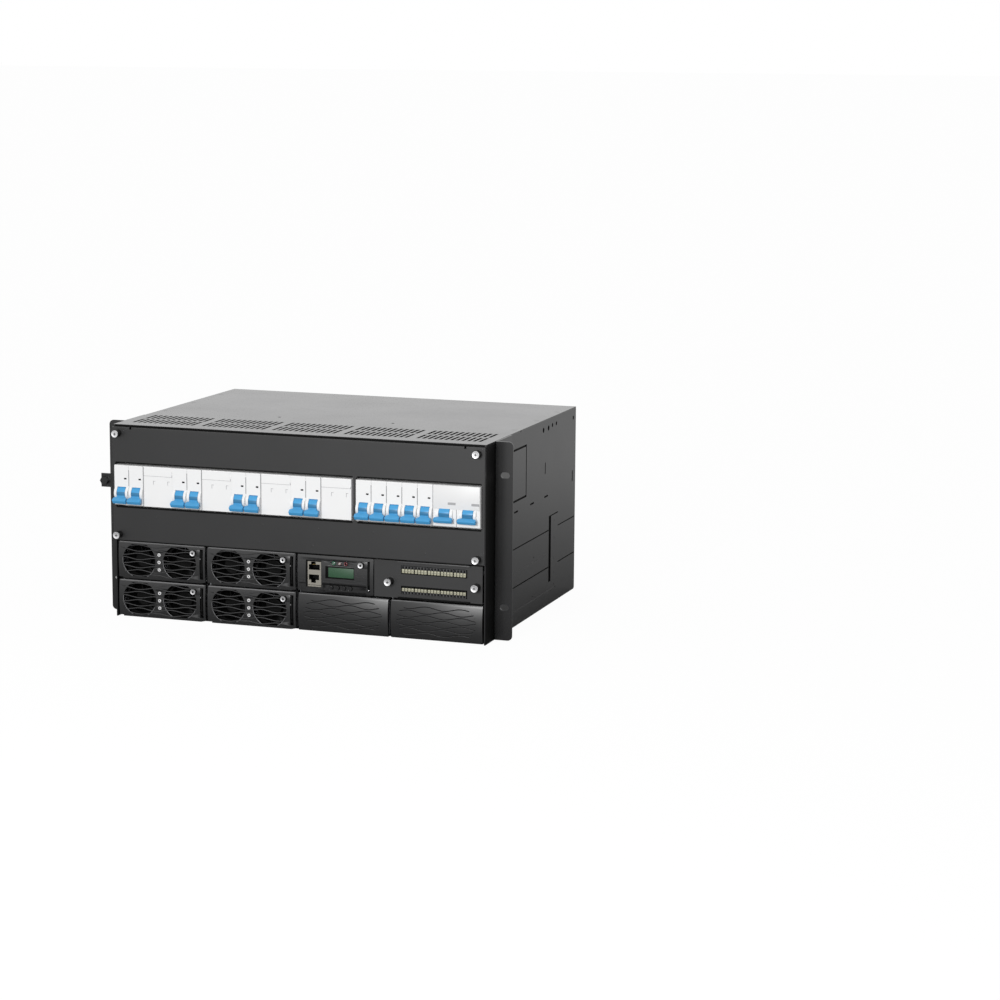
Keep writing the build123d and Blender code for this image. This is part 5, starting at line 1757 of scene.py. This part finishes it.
    def build_contacts(self, face: Face) -> Piece:
        """Models the spring contacts that slant down from the roof of each jack."""
        wires = []
        for roof in self.jack_roofs:
            for step in evenly(self.contact_count, self.contact_pitch):
                x = self.jack_middle + step
                far, near = -self.jack_depth, -self.shell_back - self.jack_depth / 4
                line = [face.at(x, roof - self.contact_drop, far),
                        face.at(x, roof - self.contact_drop / 2, (far + near) / 2),
                        face.at(x, roof - self.contact_radius, near)]
                wires.append(tube("wire", line, self.contact_radius, 1))
        return joined("contacts", wires)

    def build_glass(self, face: Face) -> Piece:
        """Models the dark window glass round the lit part of the display."""
        low = face.at(self.display_left, self.display_low, -self.display_back - self.glass_rise)
        high = face.at(self.display_right, self.display_high, -self.display_back + self.glass_rise)
        return round_edges(block("glass", low, high), self.glass_rise / 2)

    def build_pane(self, face: Face) -> Piece:
        """Models the green part of the display, which lies to the right in its window."""
        out = -self.display_back + self.glass_rise
        low = face.at(self.display_left + self.pane_left_margin, self.display_low + self.pane_margin, out)
        high = face.at(self.display_right - self.pane_margin / 2, self.display_high - self.pane_margin,
                       out + self.glass_rise / 2)
        return round_edges(block("pane", low, high), self.glass_rise / 4)

    def build_lamp(self, face: Face, x: float, ring_finish: Material,
                   eye_finish: Material) -> Piece:
        """Models one lamp: a domed eye inside a coloured ring.

        Args:
            face: the controller's face.
            x: the width of its middle.
            ring_finish: the ring's finish.
            eye_finish: the eye's finish.

        Returns:
            The lamp.
        """
        eye = self.lamp.build_eye(face, x, self.lamp_z)
        coat(eye, eye_finish)
        ring = self.lamp.build_ring(face, x, self.lamp_z)
        coat(ring, ring_finish)
        return joined("lamp", [ring, eye])

    def build_grain(self, face: Face) -> Piece:
        """Models the fine wavy lines that stand out of the face round the windows."""
        lines = []
        for start, end, rise, swing in self.grain_shares:
            points = []
            for step in range(self.grain_steps + 1):
                share = step / self.grain_steps
                x = self.width * (start + (end - start) * share)
                z = self.height * (rise + swing * math.sin(math.tau * self.grain_waves * share))
                points.append(face.at(x, z))
            lines.append(tube("line", points, self.grain_radius, 1))
        return joined("grain", lines)


# The terminal card


class Row(Enum):
    """The two rows of terminals, by the side on which their wire openings lie."""

    LOWER = -1
    UPPER = 1


@dataclass
class TerminalCard:
    """The card's terminal blocks with their buttons and wire openings, and its captive screws."""

    count: int = 5
    pitch: float = 15.0 * MM
    width: float = 14.4 * MM
    height: float = 8.4 * MM
    window_height: float = 9.3 * MM
    window_low: Pair = (50.0 * MM, 72.7 * MM)
    proud: float = 0.8 * MM
    depth: float = 12.8 * MM
    header_height: float = 3.1 * MM
    header_depth: float = 6.0 * MM
    base_back: float = 0.9 * MM
    inner_gap: Pair = (1.7 * MM, 0.7 * MM)
    pole_count: int = 4
    hole_width: float = 2.5 * MM
    hole_height: float = 2.3 * MM
    hole_depth: float = 4.5 * MM
    button_width: float = 2.9 * MM
    button_margin: float = 0.2 * MM
    button_rise: float = 0.5 * MM
    button_round: float = 0.35 * MM
    notch_height: float = 0.5 * MM
    notch_width: float = 1.5 * MM
    round_width: float = 0.2 * MM
    screw_x: Pair = (111.2 * MM, 211.3 * MM)
    screw_z: float = 64.0 * MM
    screw: CaptiveScrew = CaptiveScrew(Recess.CROSS, 4.0 * MM, 1.8 * MM, 3.96 * MM, 8.6 * MM)
    lip_low: float = 45.6 * MM
    lip_high: float = 86.8 * MM
    lip_left: float = 120.3 * MM
    lip_right: float = 203.3 * MM
    lip_sheet: float = 1.2 * MM
    lip_out: float = 2.0 * MM
    lip_skin: float = 0.08 * MM

    def build(self, palette: Palette) -> None:
        """Dresses the card."""
        # The lower lip is painted dark as its shadow and the upper lip paler as its highlight: painted shade
        # and a painted highlight.
        for name, foot, finish in (("card_lip_lower_shadow", self.lip_low, palette.dark),
                                   ("card_lip_upper_highlight", self.lip_high - self.lip_sheet, palette.lip)):
            skin = self.lip_skin
            lip = block(name, (self.lip_left - skin, front_y() - self.lip_out - skin, foot - skin),
                        (self.lip_right + skin, front_y() - skin, foot + self.lip_sheet + skin))
            show(round_edges(lip, skin), "io_card", finish)
        low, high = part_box("io_terminals")
        middle = (low.x + high.x) / 2
        kinds: dict[str, list[Piece]] = {"buttons": [], "headers": [], "bases": [], "notches": []}
        for row, foot, gap in zip(Row, self.window_low, self.inner_gap):
            models = self.build_block(middle, foot + self.window_height / 2, row, gap)
            for pieces, model in zip(kinds.values(), models):
                pieces.extend(copied(model, "copy", (step, 0.0, 0.0))
                              for step in evenly(self.count, self.pitch))
                bpy.data.objects.remove(model)
        cream = joined("terminal_buttons", kinds["buttons"])
        show(cream, "io_card", palette.cream)
        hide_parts("io_terminals")
        show(joined("terminal_headers", kinds["headers"]), "io_card", palette.header)
        show(joined("terminal_bases", kinds["bases"]), "io_card", palette.dark)
        show(joined("terminal_notches", kinds["notches"]), "io_card", palette.mark)
        pairs = [self.screw.build(Vector((x, front_y(), self.screw_z))) for x in self.screw_x]
        show(joined("card_screw_heads", [head for head, _ in pairs]), "io_card", palette.nickel)
        show(joined("card_screw_sleeves", [sleeve for _, sleeve in pairs]), "io_card", palette.sleeve)

    def build_block(self, x: float, z: float, row: Row, gap: float) -> tuple[Piece, Piece, Piece, Piece]:
        """Models one four-pole terminal block.

        Args:
            x: the width of its middle.
            z: the height of its middle.
            row: its row, which tells on which side its wire openings are.
            gap: the black strip between the buttons and the window's edge.

        Returns:
            The cream buttons, the grey header, the black base and the dark notches in the buttons.
        """
        side = row.value
        face = front_y() - self.proud
        back = face + self.depth
        left, right = x - self.width / 2, x + self.width / 2
        outer, inner = z + side * self.height / 2, z - side * self.height / 2
        split = outer - side * self.header_height
        foot, top = sorted((split - side * self.button_margin, inner + side * gap))

        base = joined("base", [block("base", (left, face + self.base_back, inner), (right, back, split)),
                               block("base", (left, face + self.header_depth, split), (right, back, outer))])
        header = block("header", (left, face, split), (right, face + self.header_depth, outer))
        buttons, holes, notches = [], [], []
        hole_z, notch_z, front = (split + outer) / 2, (foot + top) / 2, face - self.button_rise
        for pole in range(self.pole_count):
            at = x + (pole - (self.pole_count - 1) / 2) * self.width / self.pole_count
            holes.append(slab("hole", at, hole_z, self.hole_width, self.hole_height,
                              face - self.hole_depth, face + self.hole_depth))
            button = block("button", (at - self.button_width / 2, front, foot),
                           (at + self.button_width / 2, face + self.base_back + self.button_rise, top))
            buttons.append(round_edges(button, self.button_round))
            notches.append(slab("notch", at, notch_z, self.notch_width, self.notch_height,
                                front - self.round_width / 4, front + self.round_width))
        cut_with(header, [joined("holes", holes)])
        return joined("buttons", buttons), header, base, joined("notches", notches)


# The blank fillers


@dataclass
class BlankFiller:
    """A filler's bulged front with dark wavy lines for its grooves, which are painted shade, paler lines
    below them and a pale bead along the top edge, which are painted highlights, and the pits at the grooves'
    ends.
    """

    width: float = 106.5 * MM
    height: float = 42.4 * MM
    oval_width: float = 92.0 * MM
    oval_height: float = 33.0 * MM
    wave_pitch: float = 4.75 * MM
    pit_count: int = 6
    pit_radius: float = 0.6 * MM
    pit_length: float = 0.8 * MM
    pit_out: float = 0.12 * MM
    crown_depth: float = 2.2 * MM
    bezel_depth: float = 8.0 * MM
    clip_gap: float = 0.01 * MM
    corner: float = 0.6 * MM
    bead_drop: float = 0.9 * MM
    bead_margin: float = 1.2 * MM
    bead_radius: float = 0.85 * MM
    groove_count: int = 7
    groove_swing: float = 1.5 * MM
    groove_length: float = 41.0 * MM
    groove_steps: int = 48
    groove_radius: float = 0.42 * MM
    groove_out: float = -0.12 * MM
    gleam_radius: float = 0.24 * MM
    gleam_drop: float = 0.62 * MM

    def build(self, palette: Palette, stems: list[str]) -> None:
        """Dresses the fillers."""
        face = face_of(stems[0])
        low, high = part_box(stems[0])
        crown = Crown(low, Vector((high.x, low.y + self.bezel_depth, high.z)), self.crown_depth)
        grooves = self.build_grooves(face, self.groove_radius, 0.0)
        gleams = self.build_grooves(face, self.gleam_radius, self.gleam_drop)
        spread([
            Pattern(self.build_front(crown, stems[0]), "front", palette.module, replaced=""),
            # The bead along the top edge is a painted highlight.
            Pattern(crown.bead("bead", self.bead_drop, self.bead_margin, self.bead_radius), "top_painted_highlight",
                    palette.edge),
            # Dark lines: painted shade in the grooves. Paler lines below them: painted highlights.
            Pattern(crown.bend(grooves), "grooves", palette.dark),
            Pattern(crown.bend(gleams), "gleams", palette.header),
            Pattern(crown.bend(self.build_pits(face)), "pits", palette.dark),
        ], stems, "")

    def build_front(self, crown: Crown, node: str) -> Piece:
        """Models the bulged front without its grooves, and copies the clips behind it."""
        clips = merged_copy(node, "clips")
        bpy.ops.object.mode_set(mode="EDIT")
        bpy.ops.mesh.select_all(action="SELECT")
        bpy.ops.mesh.bisect(plane_co=(0.0, crown.high.y + self.clip_gap, 0.0), plane_no=(0.0, 1.0, 0.0),
                            clear_inner=True)
        bpy.ops.object.mode_set(mode="OBJECT")
        front = round_edges(block("front", crown.low, crown.high), self.corner)
        return joined("front", [crown.front(front), clips])

    def build_grooves(self, face: Face, radius: float, drop: float) -> Piece:
        """Models the wavy lines inside the oval, which swing towards each other in turn: the dark ones are
        painted shade in the grooves, the paler ones below them painted highlights on their lips.

        Args:
            face: the filler's face.
            radius: the radius of the lines.
            drop: how far they lie below the grooves' middle.

        Returns:
            The lines.
        """
        lines = []
        for i, rise in enumerate(evenly(self.groove_count, self.wave_pitch)):
            reach = self.reach(rise)
            swing = -self.groove_swing if i % 2 else self.groove_swing
            points = []
            for step in range(self.groove_steps + 1):
                x = self.width / 2 + reach * (2 * step / self.groove_steps - 1)
                z = self.height / 2 + rise + swing * math.cos(math.tau * x / self.groove_length)
                points.append(face.at(x, z - drop, self.groove_out))
            lines.append(tube("line", points, radius, 1))
        return joined("lines", lines)

    def reach(self, rise: float) -> float:
        """Half the oval's width at a height above its middle."""
        end = self.oval_height / 2
        return self.oval_width / 2 - end + math.sqrt(end ** 2 - rise ** 2)

    def build_pits(self, face: Face) -> Piece:
        """Models the row of pits along the right end of the oval."""
        pits = []
        for rise in evenly(self.pit_count, self.wave_pitch):
            middle = face.at(self.width / 2 + self.reach(rise), self.height / 2 + rise,
                             self.pit_out - self.pit_length / 2)
            pit = drum("pit", middle, self.pit_radius, self.pit_length, Way.DEEP, sides=16)
            inset(pit, faces_front, self.pit_radius / 3, self.pit_radius / 2)
            pits.append(pit)
        return joined("pits", pits)


# The sheet-metal work


@dataclass
class Sheetwork:
    """Weld marks, lid notches, spot welds, rivets and the rear cable grommets of the chassis."""

    half_width: float = 221.0 * MM
    top: float = 220.0 * MM
    mark_rise: float = 0.12 * MM
    tick_width: float = 1.0 * MM
    tick_height: float = 2.2 * MM
    tick_rows: tuple[tuple[float, tuple[float, ...]], ...] = (
        (117.0 * MM, (-168.0 * MM, -103.0 * MM, -38.0 * MM, 28.0 * MM, 93.0 * MM)),
        (97.5 * MM, (-108.0 * MM, -43.0 * MM, 21.5 * MM, 88.0 * MM, 153.0 * MM)))
    weld_y: float = 217.0 * MM
    weld_z: tuple[float, ...] = (35.0 * MM, 52.0 * MM, 77.0 * MM, 97.0 * MM)
    weld_radius: float = 1.7 * MM
    notch_y: Pair = (13.0 * MM, 85.0 * MM)
    notch_length: float = 6.0 * MM
    notch_height: float = 1.0 * MM
    entry_x: float = 120.0 * MM
    entry_z: float = 150.0 * MM
    entry_width: float = 70.0 * MM
    entry_height: float = 34.0 * MM
    grommet_radius: float = 1.9 * MM
    grommet_steps: int = 24
    rivet_x: tuple[float, ...] = (-205.0 * MM, -70.0 * MM, 70.0 * MM, 205.0 * MM)
    rivet_z: Pair = (100.0 * MM, 205.0 * MM)
    rivet_radius: float = 2.4 * MM
    rivet_rise: float = 0.9 * MM
    rivet_proud: float = 0.02 * MM
    rivet_round: float = 0.8
    joint_runs: tuple[Pair, ...] = ((-217.1 * MM, 68.5 * MM), (73.85 * MM, 217.1 * MM))
    joint_levels: tuple[Pair, ...] = ((126.0 * MM, 127.9 * MM), (176.8 * MM, 178.1 * MM))
    joint_skin: float = 0.1 * MM
    seal_half: float = 219.0 * MM
    seal_low: float = 217.7 * MM
    seal_high: float = 219.6 * MM
    seal_out: float = 0.2 * MM
    corner_skin: float = 0.05 * MM
    backing_x: float = 219.5 * MM
    backing_y: Pair = (22.0 * MM, 290.0 * MM)
    backing_z: Pair = (4.0 * MM, 216.0 * MM)

    def build(self, palette: Palette) -> None:
        """Models the small sheet-metal marks and the strips of painted shade, and puts them on the shelf."""
        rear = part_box("chassis")[1].y
        # A black strip along the lid's front edge: painted shade of the gap between lid and cover.
        seal = block("seal", (-self.seal_half, front_y() - self.seal_out, self.seal_low),
                     (self.seal_half, front_y() + self.seal_out, self.seal_high))
        show_all([
            ("window_edge_shadows", self.build_window_edge_shadows(), "cover", palette.dark, None),
            ("lid_shadow_strip", round_edges(seal, self.joint_skin), "shelf", palette.dark, None),
            ("ear_corner_shadows", self.build_ear_corner_shadows(), "shelf", palette.dark, "chassis_black"),
            ("side_slit_shadows", self.build_slit_shadows(), "shelf", palette.dark, "chassis_black"),
            ("cover_ticks", self.build_ticks(), "cover", palette.cover, "chassis_black"),
            ("spot_welds", self.build_welds(), "shelf", palette.chassis, "chassis_black"),
            ("lid_notches", self.build_notches(), "shelf", palette.sleeve, None),
            ("grommets", self.build_grommets(rear), "shelf", palette.sleeve, None),
            ("rear_rivets", self.build_rivets(rear), "shelf", palette.chassis, "chassis_black"),
        ])

    def build_window_edge_shadows(self) -> Piece:
        """Models dark strips along the folded edges above and below the cover's window: painted shade."""
        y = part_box("front_cover")[0].y
        return joined("joints", [
            round_edges(block("joint", (left, y - self.joint_skin, low), (right, y + self.joint_skin, high)),
                        self.joint_skin / 2)
            for left, right in self.joint_runs for low, high in self.joint_levels])

    def build_ear_corner_shadows(self) -> Piece:
        """Models black strips over the side wall in front of the two ears: painted shade of the ears."""
        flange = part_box("rack_ear_right")[0].y
        strips = [block("corner", (side * (self.half_width - self.corner_skin), front_y(), self.notch_height),
                        (side * (self.half_width + self.corner_skin), flange, self.seal_low))
                  for side in (-1.0, 1.0)]
        return joined("corners", [round_edges(strip, self.corner_skin / 2) for strip in strips])

    def build_slit_shadows(self) -> Piece:
        """Models black sheets inside both side walls, behind their slits: painted shade seen through the
        slits.
        """
        (near, far), (foot, top) = self.backing_y, self.backing_z
        foils = [block("foil", (side * (self.backing_x - self.corner_skin), near, foot),
                       (side * self.backing_x, far, top)) for side in (-1.0, 1.0)]
        return joined("backings", [round_edges(foil, self.corner_skin / 4) for foil in foils])

    def build_ticks(self) -> Piece:
        """Models the faint weld marks on the lower part of the cover."""
        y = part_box("front_cover")[0].y
        return joined("ticks", [
            round_edges(slab("tick", x, z, self.tick_width, self.tick_height, y - self.mark_rise,
                             y + self.mark_rise), self.mark_rise)
            for z, places in self.tick_rows for x in places])

    def build_welds(self) -> Piece:
        """Models the spot welds on the strap of both side walls."""
        return joined("welds", [
            round_edges(drum("weld", (side * self.half_width, self.weld_y, z), self.weld_radius,
                             2 * self.mark_rise, Way.ACROSS, sides=24), self.mark_rise)
            for side in (-1.0, 1.0) for z in self.weld_z])

    def build_notches(self) -> Piece:
        """Models the dark notches in the lid's side edges."""
        notches = []
        for side in (-1.0, 1.0):
            for y in self.notch_y:
                x = side * self.half_width
                notch = block("notch", (x - self.mark_rise, y, self.top - 2 * self.notch_height),
                              (x + self.mark_rise, y + self.notch_length, self.top - self.notch_height))
                notches.append(round_edges(notch, self.mark_rise / 2))
        return joined("notches", notches)

    def build_grommets(self, rear: float) -> Piece:
        """Models the rubber trim inside the two cable entries, flush with the rear wall's outside."""
        rings = []
        middle = rear - self.grommet_radius
        flat, bend = (self.entry_width - self.entry_height) / 2, self.entry_height / 2
        for side in (-1.0, 1.0):
            points = []
            for step in range(2 * self.grommet_steps + 1):
                turn = math.tau * step / (2 * self.grommet_steps) - math.pi / 2
                shift = flat if math.cos(turn) >= 0 else -flat
                points.append(Vector((side * self.entry_x + shift + bend * math.cos(turn), middle,
                                      self.entry_z + bend * math.sin(turn))))
            points.append(points[0].copy())
            rings.append(tube("ring", points, self.grommet_radius))
        return joined("grommets", rings)

    def build_rivets(self, rear: float) -> Piece:
        """Models the flush rivets of the rear wall, a hair's breadth proud of it."""
        middle = rear + self.rivet_proud - self.rivet_rise
        return joined("rivets", [
            round_edges(drum("rivet", (x, middle, z), self.rivet_radius, 2 * self.rivet_rise, Way.DEEP,
                             sides=28), self.rivet_rise * self.rivet_round, 3)
            for x in self.rivet_x for z in self.rivet_z])


@dataclass
class ModuleCase:
    """The sheet case of a rectifier: embossed lid, latch slots at the front and side screws."""

    emboss_low: Pair = (22.0 * MM, 70.0 * MM)
    emboss_high: Pair = (84.0 * MM, 176.0 * MM)
    emboss_rise: float = 0.2 * MM
    emboss_round: float = 0.15 * MM
    emboss_rim: float = 1.6 * MM
    slot_x: tuple[float, ...] = (10.0 * MM, 34.0 * MM, 62.0 * MM, 86.0 * MM)
    slot_back: float = 2.5 * MM
    slot_length: float = 8.0 * MM
    slot_width: float = 3.5 * MM
    screw_back: tuple[float, ...] = (14.0 * MM, 78.0 * MM, 142.0 * MM, 204.0 * MM)
    screw_drop: float = 5.0 * MM
    screw_radius: float = 2.0 * MM

    def build(self, palette: Palette, stems: list[str]) -> None:
        """Dresses the cases.

        Args:
            palette: the finishes.
            stems: the rectifiers' names.
        """
        low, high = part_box(f"{stems[0]}_case")
        spread([
            Pattern(self.build_emboss(low, high), "case_emboss", palette.zinc, slot="zinc_sheet"),
            Pattern(self.build_slots(low, high), "case_slots", palette.sleeve, slot=None),
            Pattern(self.build_screws(low, high), "case_screws", palette.steel, slot="nickel"),
        ], stems, "_case")

    def build_emboss(self, low: Vector, high: Vector) -> Piece:
        """Models the raised panel on the case's lid, with a sunk middle."""
        panel = block("emboss", (low.x + self.emboss_low[0], low.y + self.emboss_low[1], high.z),
                      (low.x + self.emboss_high[0], low.y + self.emboss_high[1], high.z + self.emboss_rise))
        inset(panel, lambda centre, normal: normal.z > SQUARE, self.emboss_rim, self.emboss_rise / 2)
        return round_edges(panel, self.emboss_round / 2)

    def build_slots(self, low: Vector, high: Vector) -> Piece:
        """Models the dark latch slots along the front edge of the case's lid."""
        slots = []
        for x in self.slot_x:
            slot = block("slot", (low.x + x, low.y + self.slot_back, high.z - self.emboss_rise),
                         (low.x + x + self.slot_length, low.y + self.slot_back + self.slot_width,
                          high.z + self.emboss_rise / 4))
            slots.append(round_edges(slot, self.emboss_rise / 8))
        return joined("slots", slots)

    def build_screws(self, low: Vector, high: Vector) -> Piece:
        """Models the flat screw heads along both sides of the case."""
        return joined("screws", [
            round_edges(drum("screw", (x, low.y + back, high.z - self.screw_drop), self.screw_radius,
                             2 * self.emboss_rise, Way.ACROSS, sides=24), self.emboss_rise / 2)
            for x in (low.x, high.x) for back in self.screw_back])


def main() -> None:
    """Builds the shelf's looks in order."""
    logging.basicConfig(level=logging.INFO)
    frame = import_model()
    palette = Palette()
    Studio().build()
    paints = {
        "chassis_black": palette.chassis, "lid_grey": palette.lid, "zinc_sheet": palette.zinc,
        "module_black": palette.module, "breaker_white": palette.breaker, "toggle_blue": palette.toggle,
        "nickel": palette.nickel, "copper": palette.copper, "board_green": palette.board,
        "terminal_cream": palette.cream, "display_green": palette.display, "rotor_black": palette.rotor,
        "key_grey": palette.key,
    }
    for part in frame["record"]["subparts"]:
        coat(frame["nodes"][part["node"]], paints[part["material_slot"]])
    coat(frame["nodes"]["front_cover"], palette.cover)
    coat(frame["nodes"]["io_panel"], palette.card)
    coat(frame["nodes"]["controller_display"], palette.board)
    for ear in ("rack_ear_left", "rack_ear_right"):
        coat(frame["nodes"][ear], palette.ear)
    # The levers take the near-black finish: painted shade of the slits they sit in.
    for lever in ["controller_lever", *(f"{stem}_lever" for stem in RECTIFIERS)]:
        coat(frame["nodes"][lever], palette.dark)
    CoverScrews().build(palette)
    BreakerRow().build(palette)
    RectifierFront().build(palette, RECTIFIERS)
    ControllerFront().build(palette)
    TerminalCard().build(palette)
    BlankFiller().build(palette, FILLERS)
    ModuleCase().build(palette, RECTIFIERS)
    Sheetwork().build(palette)


if __name__ == "__main__":
    main()
